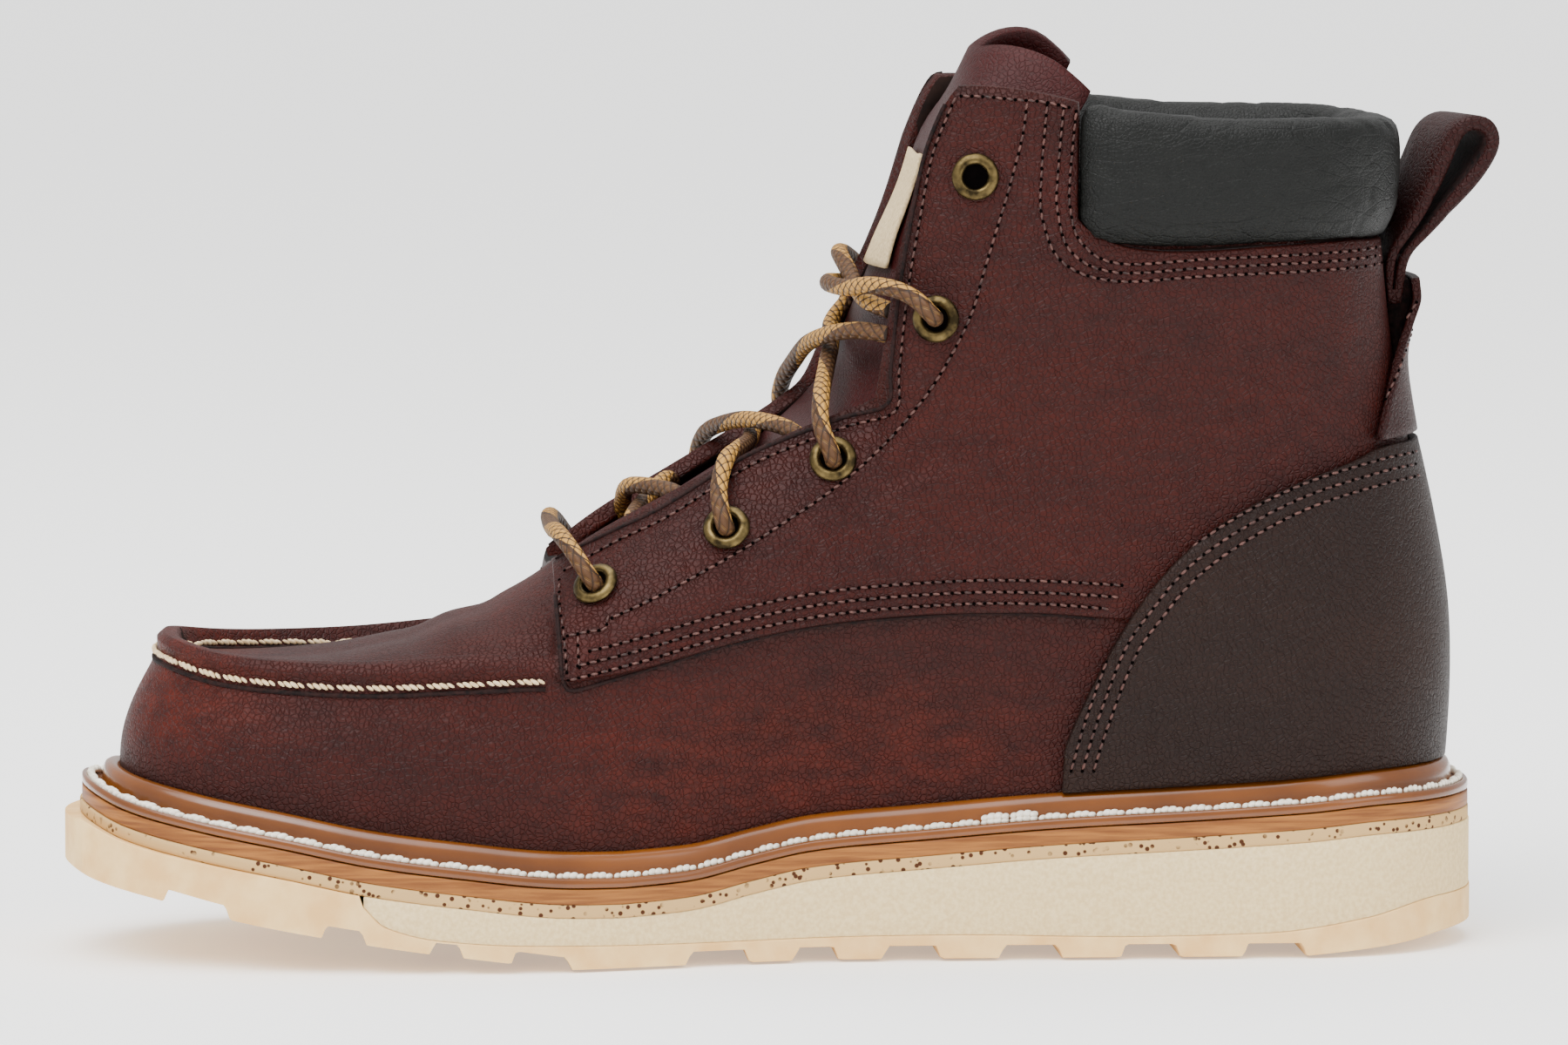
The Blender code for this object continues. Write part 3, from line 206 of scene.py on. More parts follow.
def cadCopy(node, levels, sharp=35.0, crease=0.75, flatOnly=False):
    # a merged copy of a solid with four-sided faces, rounded by subdivision
    bm = bmesh.new()
    bm.from_mesh(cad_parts[node].data)
    bmesh.ops.remove_doubles(bm, verts=bm.verts, dist=0.02 * mm)
    flat, square = math.radians(40), math.radians(60)
    bmesh.ops.join_triangles(bm, faces=bm.faces, angle_face_threshold=flat, angle_shape_threshold=square)
    layer = bm.edges.layers.float.new("crease_edge")
    for edge in bm.edges:
        if len(edge.link_faces) == 2 and edge.calc_face_angle(0.0) > math.radians(sharp):
            ahead = edge.verts[1].co - edge.verts[0].co
            if not flatOnly or abs(ahead.z) < 0.5 * ahead.length:
                edge[layer] = crease
    made = meshFrom(node + "Copy", bm)
    if levels:
        rounded(made, levels)
    made.data.shade_smooth()
    return made


def pushed(mesh, amounts):
    # every point moves along its own normal, by millimetres, and all normals are read first
    normals = [vertex.normal.copy() for vertex in mesh.vertices]
    places = []
    for vertex, outward, amount in zip(mesh.vertices, normals, amounts):
        places.extend(vertex.co + outward * amount * mm)
    mesh.vertices.foreach_set("co", places)
    mesh.update()


def treeOf(meshObject):
    bm = bmesh.new()
    bm.from_mesh(meshObject.data)
    tree = BVHTree.FromBMesh(bm)
    bm.free()
    return tree


def smoothRun(points, pitch):
    # evenly spaced points along a smooth run
    dense = []
    for k in range(len(points) - 1):
        before, after = points[max(k - 1, 0)], points[min(k + 2, len(points) - 1)]
        start, end = points[k], points[k + 1]
        dense += [hermite(n / 24, start, (end - before) / 2, end, (after - start) / 2) for n in range(24)]
    dense.append(points[-1])
    run, carried = [dense[0]], 0.0
    for first, second in zip(dense, dense[1:]):
        length = (second - first).length
        while carried + length >= pitch:
            share = (pitch - carried) / length
            first = first.lerp(second, share)
            length = (second - first).length
            carried = 0.0
            run.append(first)
        carried += length
    return run


def sideRun(tree, points, side, pitch, nearMiddle=8.0):
    # a run drawn in side view, laid on one side's surface: place, direction and outward
    flat = smoothRun([Vector((x * mm, 0, z * mm)) for x, z in points], pitch)
    laid = []
    for point in flat:
        place, outward, _, _ = tree.ray_cast(Vector((point.x, side * 0.2, point.z)), Vector((0, -side, 0)))
        if place is not None and place.y * side > nearMiddle * mm:
            laid.append((place, outward))
    run = []
    for k, (place, outward) in enumerate(laid):
        ahead = laid[min(k + 1, len(laid) - 1)][0] - laid[max(k - 1, 0)][0]
        run.append((place, ahead.normalized(), outward))
    return run


def bridge(bm, rings):
    # four-sided faces between neighbouring rings of points
    faces = []
    for first, second in zip(rings, rings[1:]):
        for n in range(len(first)):
            m = (n + 1) % len(first)
            faces.append(bm.faces.new((first[n], first[m], second[m], second[n])))
    return faces


def addRope(bm, run, radius, sides, uvLayer=None):
    # a round tube along a run, closed at both ends, with its turn and length as an optional UV
    side = (run[1] - run[0]).orthogonal().normalized()
    turns = [math.tau * n / sides for n in range(sides)]
    rings, lengths, total = [], [], 0.0
    for k, point in enumerate(run):
        ahead = (run[min(k + 1, len(run) - 1)] - run[max(k - 1, 0)]).normalized()
        side = (side - ahead * side.dot(ahead)).normalized()
        other = ahead.cross(side)
        total += (point - run[max(k - 1, 0)]).length
        lengths.append(total / mm)
        ring = [point + (side * math.cos(a) + other * math.sin(a)) * radius for a in turns]
        rings.append([bm.verts.new(place) for place in ring])
    for index, face in enumerate(bridge(bm, rings)):
        k, n = divmod(index, sides)
        spots = ((n, k), (n + 1, k), (n + 1, k + 1), (n, k + 1))
        for loop, (turn, along) in zip(face.loops, spots):
            if uvLayer:
                loop[uvLayer].uv = (turn / sides, lengths[along])
    bm.faces.new(list(reversed(rings[0])))
    bm.faces.new(rings[-1])


# Lace: a round braid through the eyelets, its route points given in millimetres
laceLook = {
    "radius": 1.85,
    "across": 0.0037,
    "sides": 16,
    "pitch": 0.9,
    "yarns": 5,
    "lay": 2.9,
    "twist": 46.0,
}
laceRuns = {
    "laceBar": (
        ("lace_bar",),
        (
            ((-38, -32, 78.4), (-41.2, -36.2, 83), (-44.6, -31, 88), (-46.6, -20, 90.2), (-47, -8, 89.8),
             (-47, 8, 89.8), (-46.6, 20, 90.2), (-44.6, 32, 88), (-41.2, 38.2, 83), (-38, 34, 78.4)),
        ),
    ),
    "laceCrossings": (
        ("lace_cross_1", "lace_cross_2", "lace_cross_3"),
        (
            ((-30.5, -22.5, 89), (-30.7, -17, 92.6), (-27.6, 0, 94.5), (-21.6, 18, 98), (-19.5, 24, 96.8)),
            ((-30.5, 22.5, 89), (-30.9, 17, 93.2), (-30, 0, 98.4), (-22.6, -18, 98.8), (-19, -25, 96.8)),
            ((-11, -33.6, 91), (-12.7, -39.6, 94.4), (-13.3, -35, 100.4), (-11.4, -28, 106),
             (-8, -17, 107.6), (-4.4, 0, 108), (-2.2, 17, 110), (0, 26, 109.6)),
            ((-11.2, 35.3, 91), (-12.9, 41.2, 94.5), (-13.6, 36.5, 101), (-12.2, 28.5, 107.2),
             (-8.6, 15, 110.6), (-4.4, 0, 112.5), (0.8, -14, 112.4), (4.2, -22, 111), (6.8, -28, 108)),
            ((11.5, -30.8, 105.2), (10.4, -36.9, 108.3), (8.4, -34.6, 114.2), (8.9, -28, 119.4),
             (11.6, -9, 125), (13.6, 6, 128.4), (14.6, 18, 132), (18.4, 27, 135.6)),
            ((8.2, 31.8, 105.4), (6.9, 38, 108.4), (4.6, 35.4, 113.8), (5, 29.4, 119), (6.6, 20, 123.6),
             (8.6, 6, 128.4), (12, -9, 131.4), (17, -20, 133), (23.6, -28, 132.6)),
        ),
    ),
}
freeLaces = {
    "laceKnotMedial": (
        "lace_knot_medial",
        ((32.4, -36.2, 136.6), (31.4, -39.4, 137.6), (28.4, -37.8, 140.6), (24.4, -34.2, 142.6),
         (19.5, -25.5, 143), (15.4, -15, 141.8), (12.7, -4, 141.8), (13, 5, 141.8), (15.4, 14, 141.2),
         (20, 22.5, 140.6)),
    ),
    "laceKnotLateral": (
        "lace_knot_lateral",
        ((27.5, 35.2, 136.8), (26.4, 38.6, 138), (23, 36.4, 142.2), (19.2, 31.8, 145.8),
         (16.6, 21.5, 147.2), (16.4, 12.5, 146.4), (17.4, 4, 143.8), (18.2, -6, 141), (20, -17, 138.8),
         (24.4, -25.5, 137.4)),
    ),
}


def makeLaceMaterial():
    # polyester round braid: gold yarns with brown ticks that wind round the cord
    material, tree, shader = newMaterial("braided polyester lace", 0.62, 0.25)
    cord = addNode(tree, "ShaderNodeUVMap", uv_map="cord").outputs[0]
    turn, along = addNode(tree, "ShaderNodeSeparateXYZ", {"Vector": cord}).outputs[:2]
    lumps = []
    for sign in (1, -1):
        wound = sumOf(tree, "MULTIPLY", along, sign / laceLook["lay"])
        yarn = sumOf(tree, "MULTIPLY_ADD", turn, float(laceLook["yarns"]), wound)
        wave = sumOf(tree, "SINE", sumOf(tree, "MULTIPLY", yarn, math.pi))
        lumps.append(sumOf(tree, "ABSOLUTE", wave))
    height = sumOf(tree, "MULTIPLY", *lumps)
    half = sumOf(tree, "FRACT", sumOf(tree, "MULTIPLY_ADD", along, 1 / laceLook["twist"], turn))
    ticks = sumOf(tree, "LESS_THAN", lumps[0], 0.3)
    brown = mixColour(tree, ticks, "4a301a", "8a6436")
    yellow = mixColour(tree, ticks, "a87c3a", "4a2f18")
    colour = mixColour(tree, sumOf(tree, "GREATER_THAN", half, 0.5), brown, yellow)
    colour = mixColour(tree, sumOf(tree, "COMPARE", half, 0.5, 0.03), colour, "3a2412")
    # painted shade: the colour darkens to near black in the hollows between the yarns
    shaded = mixColour(tree, rampOf(tree, height, 0.0, 0.3), "20130a", colour)
    coverWith(tree, shader, shaded, height, 0.8, 0.4)
    return material


laceBraid = makeLaceMaterial()


def laceMesh(name, runs):
    bm = bmesh.new()
    uvLayer = bm.loops.layers.uv.new("cord")
    laid = []
    for points in runs:
        run = smoothRun([Vector(point) * mm for point in points], laceLook["pitch"] * mm)
        addRope(bm, run, laceLook["radius"] * mm, laceLook["sides"], uvLayer)
        laid.append(run)
    return closedMesh(name, bm), laid


def makeLace():
    for name, (nodes, runs) in laceRuns.items():
        piece, _ = laceMesh(name, runs)
        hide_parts(*nodes)
        joinMesh(name, piece, laceBraid)
    for name, (node, points) in freeLaces.items():
        piece, (run,) = laceMesh(name, (points,))
        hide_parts(node)
        joinMesh(name, piece, laceBraid)


makeLace()
print("lace made")


# Materials, each named for the real one
oiledLeather = {
    "deep": "200807",
    "body": "2f0d09",
    "warm": "52190d",
    # seam: the colour of the grain's valleys and of the painted shade at seams, rows and the welt
    "seam": "0e0605",
    "grain": 1.15,
    "patch": 46.0,
    "gloss": 0.14,
}


def makeLeather(name, look, lift=1.0):
    # full grain cowhide, oiled: pebbled grain, colour lighter where it is stretched and where a painted
    # highlight lies, darker at seams by painted shade, a low waxy gloss
    material, tree, shader = newMaterial(name, 0.5, look["gloss"])
    place, drawn = placeOn(tree), placeOn(tree, Scale=(0.55, 1.0, 1.3))
    warm, seam = (
        addNode(tree, "ShaderNodeAttribute", attribute_name=key).outputs["Fac"] for key in ("warm", "seam")
    )
    clouds = noiseOn(tree, drawn, 1000 / look["patch"], 6.0, Roughness=0.6)["Fac"]
    fine = noiseOn(tree, drawn, 240.0, 4.0)["Fac"]
    pores = noiseOn(tree, place, 1100.0, 2.0)["Fac"]
    bent = noiseOn(tree, place, 300.0, 2.0)["Color"]
    moved = addNode(tree, "ShaderNodeMix", {0: 0.0016, 4: place, 5: bent}, data_type="VECTOR").outputs[1]
    valley = rampOf(tree, cellEdges(tree, moved, 1000 / look["grain"]), 0.0, 0.16)
    # lighter colour in the warm zones: partly the oiled leather's pull-up, partly painted highlight on the
    # toe and the top of the vamp
    pullUpAndHighlight = sumOf(tree, "MULTIPLY", warm, rampOf(tree, fine, 0.2, 0.75))
    base = mixColour(tree, rampOf(tree, clouds, 0.3, 0.7), look["deep"], look["body"])
    base = mixColour(tree, pullUpAndHighlight, base, look["warm"])
    base = mixColour(tree, sumOf(tree, "MULTIPLY_ADD", valley, -0.35, 0.35), base, look["seam"])
    # painted shade: the seam attribute darkens the leather at cut edges, stitch rows and near the welt
    base = mixColour(tree, seam, base, look["seam"])
    coverWith(tree, shader, base, sumOf(tree, "MULTIPLY_ADD", valley, 0.75, pores), 0.85 * lift, 0.24)
    rough = addNode(tree, "ShaderNodeMapRange", {"Value": clouds, "To Min": 0.38, "To Max": 0.6})
    tree.links.new(rough.outputs[0], shader.inputs["Roughness"])
    return material


upperLeather = makeLeather("oiled full grain leather", oiledLeather)
darkLook = {"deep": "180c09", "body": "24140e", "warm": "36230f"}
softLook = {"deep": "2a0b0b", "body": "3a1110", "warm": "4a1a14"}
counterLeather = makeLeather("oiled full grain leather, dark", {**oiledLeather, **darkLook})
tongueLeather = makeLeather("soft burgundy leather", {**oiledLeather, **softLook}, 0.6)


def makePad():
    # soft coated leather over foam: fine pores, short wrinkles and a satin sheen
    material, tree, shader = newMaterial("soft black padded leather", 0.46, 0.17)
    place, slanted = placeOn(tree), placeOn(tree, Rotation=(0.0, 0.7, 0.0), Scale=(0.6, 1.0, 1.5))
    wrinkles = noiseOn(tree, place, 90.0, 5.0, Distortion=1.6)["Fac"]
    pores = rampOf(tree, cellEdges(tree, place, 1300.0), 0.0, 0.2)
    folds = rampOf(tree, cellEdges(tree, slanted, 210.0), 0.0, 0.06)
    height = sumOf(tree, "MULTIPLY_ADD", pores, 0.35, wrinkles)
    height = sumOf(tree, "MULTIPLY_ADD", folds, 0.5, height)
    coverWith(tree, shader, mixColour(tree, wrinkles, "060706", "10110f"), height, 0.65, 0.35)
    return material


def makePlain(name, first, second, scale, roughness, strength=0.2, depth=0.15, stretch=(1, 1, 1), **gloss):
    # a moulded or cut surface with a mottle of two colours and a fine relief
    material, tree, shader = newMaterial(name, roughness, **gloss)
    mottle = noiseOn(tree, placeOn(tree, Scale=stretch), scale, 5.0)["Fac"]
    colour = mixColour(tree, rampOf(tree, mottle, 0.35, 0.65), first, second)
    coverWith(tree, shader, colour, mottle, strength, depth)
    return material


padLeather = makePad()
liningLeather = makePlain("dark lining leather", "140c0a", "20130f", 300.0, 0.8, shine=0.1)
weltRubber = makePlain("honey storm welt", "5c300a", "703d10", 40.0, 0.24, 0.05, shine=0.4,
                       coat=0.3, coatRoughness=0.1)
midsoleEdge = makePlain("buffed leatherboard edge", "6c3c14", "925c26", 420.0, 0.5, 0.5, 0.25,
                        stretch=(0.16, 0.16, 3.0), shine=0.3)
sandFoam = makePlain("sandy foam rubber wedge", "d2b684", "e0c896", 1100.0, 0.85, 0.7, 0.25, shine=0.2)
treadRubber = makePlain("cream rubber tread", "dcae6c", "ebc688", 120.0, 0.6, 0.2, shine=0.3)
boardInsole = makePlain("tan insole board", "6a4a30", "82603f", 400.0, 0.85)
weltThread = makePlain("waxed white thread", "d9d0be", "f2ebdc", 900.0, 0.6, 0.6, 0.2, shine=0.3)
whipThread = makePlain("waxed cream thread", "c2a67c", "dcc6a0", 900.0, 0.6, 0.6, 0.2, shine=0.3)
brownThread = makePlain("brown polyester thread", "21110f", "553630", 700.0, 0.5, 0.6, 0.15, shine=0.3)
labelCloth = makePlain("plain woven label", "b09a74", "ccb790", 1500.0, 0.9, 0.6, shine=0.1)
antiqueBrass = makePlain("antique brass", "2a2316", "6a5a38", 420.0, 0.42, 0.3, metallic=1.0)
holeShade = makePlain("shade in a hole", "040303", "070505", 300.0, 0.95, shine=0.0)
# dark cut edges, and also the painted shade beside the moc ridge's whip stitches
cutEdgeAndSeamShade = makePlain("dyed cut edge of leather and painted seam shade", "0d0707", "241210", 900.0, 0.8, 0.8, 0.3, shine=0.15)


def makeSlip():
    # cork-flecked foam rubber: cream with scattered brown specks 0.5 to 1.5 mm wide
    material, tree, shader = newMaterial("flecked foam rubber", 0.8, 0.2)
    place = placeOn(tree)
    specks = addNode(tree, "ShaderNodeTexVoronoi", {"Vector": place, "Scale": 640.0}).outputs["Distance"]
    some = rampOf(tree, noiseOn(tree, place, 150.0, 2.0)["Fac"], 0.42, 0.5)
    dots = sumOf(tree, "MULTIPLY", rampOf(tree, specks, 0.36, 0.28), some)
    coverWith(tree, shader, mixColour(tree, dots, "bd9a66", "42220f"))
    return material


slipFoam = makeSlip()
print("materials made")


# Sole: the same named sizes as the solids, in millimetres; ballAt to wedgeAt are shares of the length
soleSizes = {
    "length": 303.5,
    "ball": 109,
    "waist": 81,
    "heel": 79,
    "forefoot": 14,
    "heelHeight": 28.9,
    "toeRise": 18.7,
    "toeSpring": 20,
    "heelBevel": 4.3,
    "toeTurn": 5,
    "gap": 0.3,
    "midsole": 3.3,
    "midsoleInset": (0.5, 3.7),
    "slip": 2.8,
    "tread": 5.2,
    "lug": 2.8,
    "flange": 2,
    "bead": 5,
    "beadWidth": 4,
    "ballAt": {-1: 0.302, 1: 0.378},
    "waistAt": {-1: 0.556, 1: 0.582},
    "heelAt": 0.862,
    "heelPower": 2.1,
    "wedgeAt": 0.204,
    "boot": 178,
}

# Outlines: shares for the toe, the back, the ball, the waist (both medial, lateral), the heel, and a power
outlines = {
    "sole": (0, 0, 0.477, 0.523, 0.469, 0.531, 0.5, 2.3),
    "feather": (0.04, 0.027, 0.399, 0.445, 0.383, 0.444, 0.412, 2.35),
    "seam": (0.066, 0.0235, 0.385, 0.425, 0.488, 0.506, 0.448, 2.5),
}

# Heights along the sole: a share of the length, then a share of the height that each one scales
profiles = {
    "platformToe": ((0.012, 1), (0.041, 0.813), (0.091, 0.636), (0.155, 0.449), (0.212, 0.267),
                    (0.269, 0.144), (0.352, 0.01), (0.387, 0)),
    "platformHeel": ((0.387, 0), (0.433, 0.06), (0.48, 0.262), (0.522, 0.423), (0.597, 0.55),
                     (0.694, 0.705), (0.79, 0.805), (0.863, 0.893), (0.925, 0.987), (0.984, 1)),
    "groundToe": ((0, 1), (0.018, 0.88), (0.068, 0.705), (0.12, 0.515), (0.177, 0.36), (0.249, 0.195),
                  (0.309, 0.08), (0.345, 0)),
    "groundHeel": ((0.87, 0), (0.94, 0.45), (0.97, 0.8), (1, 1)),
    "treadTop": ((0.204, 2.87), (0.222, 1.88), (0.26, 1.33), (0.317, 1.1), (0.456, 0.96), (0.62, 1.04),
                 (0.742, 0.92), (0.838, 1.02), (0.912, 1.56), (0.967, 2.19), (1, 2.23)),
    "seamLine": ((0.066, 0.357), (0.111, 0.339), (0.157, 0.333), (0.211, 0.33), (0.271, 0.334),
                 (0.335, 0.338), (0.357, 0.337)),
}

# Gaps between the lugs of the medial (-1) and the lateral side, as shares of the length
grooves = {
    -1: ((0.068, 0.115), (0.177, 0.209), (0.252, 0.276), (0.308, 0.351), (0.431, 0.477), (0.507, 0.54),
         (0.57, 0.612), (0.652, 0.697), (0.737, 0.78), (0.823, 0.869)),
    1: ((0.04, 0.066), (0.125, 0.16), (0.214, 0.247), (0.283, 0.305), (0.378, 0.42), (0.487, 0.505),
        (0.546, 0.566), (0.622, 0.646), (0.704, 0.731), (0.789, 0.816)),
}


def readRows(rows, at):
    # a smooth curve through the rows, without overshoot
    xs, ys = [row[0] for row in rows], [row[1] for row in rows]
    if at <= xs[0]:
        return ys[0]
    if at >= xs[-1]:
        return ys[-1]
    i = max(k for k, x in enumerate(xs) if x <= at)

    def slope(k):
        return (ys[k + 1] - ys[k]) / (xs[k + 1] - xs[k])

    def tangent(k):
        if k in (0, len(xs) - 1):
            return slope(min(k, len(xs) - 2))
        before, after = slope(k - 1), slope(k)
        return 2 * before * after / (before + after) if before * after > 0 else 0.0

    step = xs[i + 1] - xs[i]
    return hermite((at - xs[i]) / step, ys[i], step * tangent(i), ys[i + 1], step * tangent(i + 1))


def shareOf(x):
    return x / soleSizes["length"] + 0.5


def platform(x):
    at = shareOf(x)
    heel = (soleSizes["heelHeight"] - soleSizes["forefoot"]) * readRows(profiles["platformHeel"], at)
    return soleSizes["forefoot"] + soleSizes["toeRise"] * readRows(profiles["platformToe"], at) + heel


def slipFoot(x):
    return platform(x) - soleSizes["slip"]


def midsoleTop(x):
    return platform(x) + soleSizes["midsole"]


def ground(x):
    at = shareOf(x)
    return (soleSizes["toeSpring"] * readRows(profiles["groundToe"], at)
            + soleSizes["heelBevel"] * readRows(profiles["groundHeel"], at))


def treadTop(x):
    at = shareOf(x)
    underSlip = slipFoot(x) - 0.05
    if at <= soleSizes["wedgeAt"]:
        return underSlip
    return min(soleSizes["tread"] * readRows(profiles["treadTop"], at), underSlip - 0.05)


def plan(name, w, inset=0.0, toeInset=0.0):
    # a place on an outline, in millimetres: w runs from the toe to the heel, medial below 0
    toeShare, backShare, ballIn, ballOut, waistIn, waistOut, heelShare, power = outlines[name]
    side = -1 if w < 0 else 1
    ballAt, waistAt = soleSizes["ballAt"][side], soleSizes["waistAt"][side]
    share = (1 - math.cos(math.pi * abs(w))) / 2
    toe = (toeShare - 0.5) * soleSizes["length"] + toeInset
    back = (0.5 - backShare) * soleSizes["length"] - inset
    ball = soleSizes["ball"] * (ballIn if side < 0 else ballOut)
    waist = soleSizes["waist"] * (waistIn if side < 0 else waistOut)
    heel = soleSizes["heel"] * heelShare
    rows = ((0.0, ball), (ballAt, ball), (waistAt, waist), (soleSizes["heelAt"], heel), (1.0, heel))
    half = readRows(rows, share) - inset
    if share < ballAt:
        half *= (1 - (1 - share / ballAt) ** power) ** (1 / power)
    if share > soleSizes["heelAt"]:
        power = soleSizes["heelPower"]
        half *= max(1 - (1 - (1 - share) / (1 - soleSizes["heelAt"])) ** power, 0) ** (1 / power)
    x = toe + (back - toe) * share
    turn = soleSizes["toeTurn"] * max(0.0, 1 - shareOf(x) / soleSizes["ballAt"][-1]) ** 2
    return x, side * half - turn


def roundSole(count):
    # stations all round the sole, closer together at the toe and the heel
    return [-1 + 2 * k / count for k in range(count)]


# Upper: the solid's own form, rounded, with creases placed one by one
upperPiece = cadCopy("upper", 2, sharp=40.0, crease=0.7)
upperTree = treeOf(upperPiece)
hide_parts("upper")


def isInner(tree, place, outward, across=18.0):
    # a face of the inside looks at the opposite wall
    hit = tree.ray_cast(place + outward * 0.5 * mm, outward)
    return hit[0] is not None and hit[3] > across * mm


# Rows of brown stitches in side view, in millimetres
brownRows = {
    "pitch": 2.25,
    "stitch": (1.75, 0.62, 0.62, -7),
    "hole": (0.74, 0.74, 0.5, 0),
    "upper": (
        # quarter's lower edge
        ((-45.6, 61), (-29.6, 65), (-9.4, 70.8), (10.8, 74.5), (36.7, 76.3), (55.2, 76.1), (69, 74.9)),
        ((-43.6, 64), (-29.6, 67.4), (-9.4, 73.2), (10.8, 76.9), (36.7, 78.7), (55.2, 78.5), (70.8, 77.4)),
        ((-41, 67), (-29.6, 69.9), (-9.4, 75.7), (10.8, 79.4), (36.7, 81.2), (55.2, 81), (72.8, 79.8)),
        # front corner: two short uprights and the top of the small box
        ((-46.6, 80.6), (-46.9, 76), (-46.4, 71), (-45.9, 62.5)),
        ((-43.4, 70.4), (-43.4, 66.4), (-43.2, 62.8)),
        ((-45.6, 70), (-41, 71), (-37.8, 71.6), (-37, 74)),
        # behind the eyelets
        ((-36.2, 73.8), (-27.3, 77.9), (-17.2, 83.2), (-7.7, 88.5), (0.8, 93.8), (10, 99.8), (19.2, 107.2),
         (27.3, 116), (33.8, 125), (40, 136.9), (42.8, 146), (45.6, 155.2), (48.4, 164.4), (51.1, 175),
         (52, 181.5)),
        # across the top
        ((38.4, 183.3), (43, 183.2), (50, 182.6), (55.5, 182.2), (61.6, 180.9)),
        # round the collar
        ((62.2, 180.3), (61, 166.7), (61, 159.8), (63.4, 152.5), (71.6, 148.1), (92.4, 149.1),
         (130, 150.4)),
        ((59.6, 181), (58.4, 166.7), (58.4, 159), (61.4, 150.4), (71.2, 146.2), (92.4, 147.3),
         (130, 148.6)),
        ((56.2, 181.6), (55, 166.7), (55.2, 157.6), (59.4, 148.4), (70.8, 144.4), (92.4, 145.5),
         (130, 146.8)),
    ),
    "medial": (
        ((-45.4, 82.4), (-34.6, 88.8), (-23.6, 94.3), (-5.4, 105.4), (12.8, 112.8), (23.9, 116.6),
         (25.2, 125.5), (27.1, 142), (29.9, 158.3), (32.5, 171.2), (36.9, 182.3)),
    ),
    "lateral": (
        ((-45.4, 82.4), (-34.6, 88.8), (-23.6, 94.3), (-9.6, 102.4), (2.4, 109.6), (8, 113.4),
         (12.6, 117.4), (16, 127.6), (24.6, 145.4), (30.9, 161.4), (32.9, 171.2), (36.9, 182.3)),
    ),
    "counter": (
        ((61.6, 40), (64.6, 51.2), (70.2, 67), (75.6, 75.6), (84.4, 85.9), (97, 94.6), (111.8, 101.5),
         (127.8, 105.5), (138, 106.2)),
        ((64, 40), (67, 50.6), (72.5, 65.8), (77.8, 74), (86.2, 83.8), (98.2, 92.2), (112.6, 99),
         (128.2, 102.9), (138.4, 103.7)),
        ((66.4, 40), (69.4, 50), (74.8, 64.6), (80, 72.4), (88, 81.7), (99.4, 89.8), (113.3, 96.5),
         (128.6, 100.3), (138.8, 101.2)),
    ),
    "backstay": (
        ((138, 138), (134.6, 132.6), (130.9, 125), (125.2, 113.6), (123.8, 110.6)),
        ((137.2, 132), (133.2, 124.4), (127.4, 113.2), (126.2, 110.8)),
    ),
}


# Cut edges: thin dark lines where one leather ends on another
cutEdges = {
    "width": 0.9,
    "sides": 6,
    "pitch": 1.2,
    "gap": 4,
    "upper": (
        ((-47, 62), (-46, 59.4), (-43.3, 58.9), (-29.6, 62.8), (-9.4, 68.6), (10.8, 72.2), (36.7, 74),
         (55.2, 73.8), (67.6, 72.6)),
        ((-47, 62), (-47.3, 70), (-47.7, 78)),
    ),
    "medial": (
        ((-48.8, 81.2), (-46.4, 84.4), (-35.6, 90.4), (-24.6, 96), (-6.3, 107.1), (12.1, 114.6),
         (22.4, 117.9), (23.6, 125.8), (25.5, 142.3), (28.3, 158.8), (31, 171.7), (35.7, 182.6),
         (40, 185.6), (52.4, 184.8), (63.4, 182.2)),
    ),
    "lateral": (
        ((-48.8, 81.2), (-46.4, 84.4), (-35.6, 90.4), (-24.6, 96), (-10.6, 104.2), (1.6, 111.6),
         (6.4, 115.2), (10.8, 118.2), (14.1, 128), (22.9, 146), (29.3, 162), (31.3, 171.7), (35.9, 182.6),
         (40, 185.6), (52.4, 184.8), (63.4, 182.2)),
    ),
}


def rowsOf(table, side):
    return table["upper"] + table["medial" if side < 0 else "lateral"]


# Creases in side view: run, depth, width and side (0 both), in millimetres; ridges have a depth below 0
creases = (
    (((22, 103), (36, 108), (56, 114)), 0.7, 3.4, 0),
    (((27, 96), (44, 99), (66, 104)), 0.5, 3, -1),
    (((24, 99.5), (40, 103.5), (60, 108)), -0.45, 3, 0),
    (((14, 98), (26, 104), (34, 112)), 0.45, 2.6, 0),
    (((38, 126), (56, 129), (78, 132)), 0.5, 4.2, 0),
    (((42, 119), (60, 121), (84, 122)), 0.45, 4, 1),
    (((40, 122.5), (60, 125), (80, 126)), -0.4, 4, 0),
    (((-66, 54), (-44, 48), (-18, 45), (8, 47)), 0.55, 4.6, 0),
    (((-60, 45), (-36, 40), (-8, 38)), 0.45, 4.4, -1),
    (((-62, 49), (-38, 44), (-10, 42)), -0.35, 4, 0),
    (((-6, 84), (12, 88), (34, 90)), 0.4, 4, 0),
    (((88, 128), (104, 124), (122, 123)), 0.45, 4.6, 0),
    (((92, 137), (108, 135), (124, 136)), 0.35, 4.2, 1),
)
creaseFade = 12
vampCreases = {
    "rows": ((-62, 0.6, 3), (-70, -0.4, 3), (-78, 0.5, 3.4)),
    "front": -95,
    "back": -48,
    "foot": 56,
    "half": 36,
    "fade": 14,
    "bend": 0.004,
}
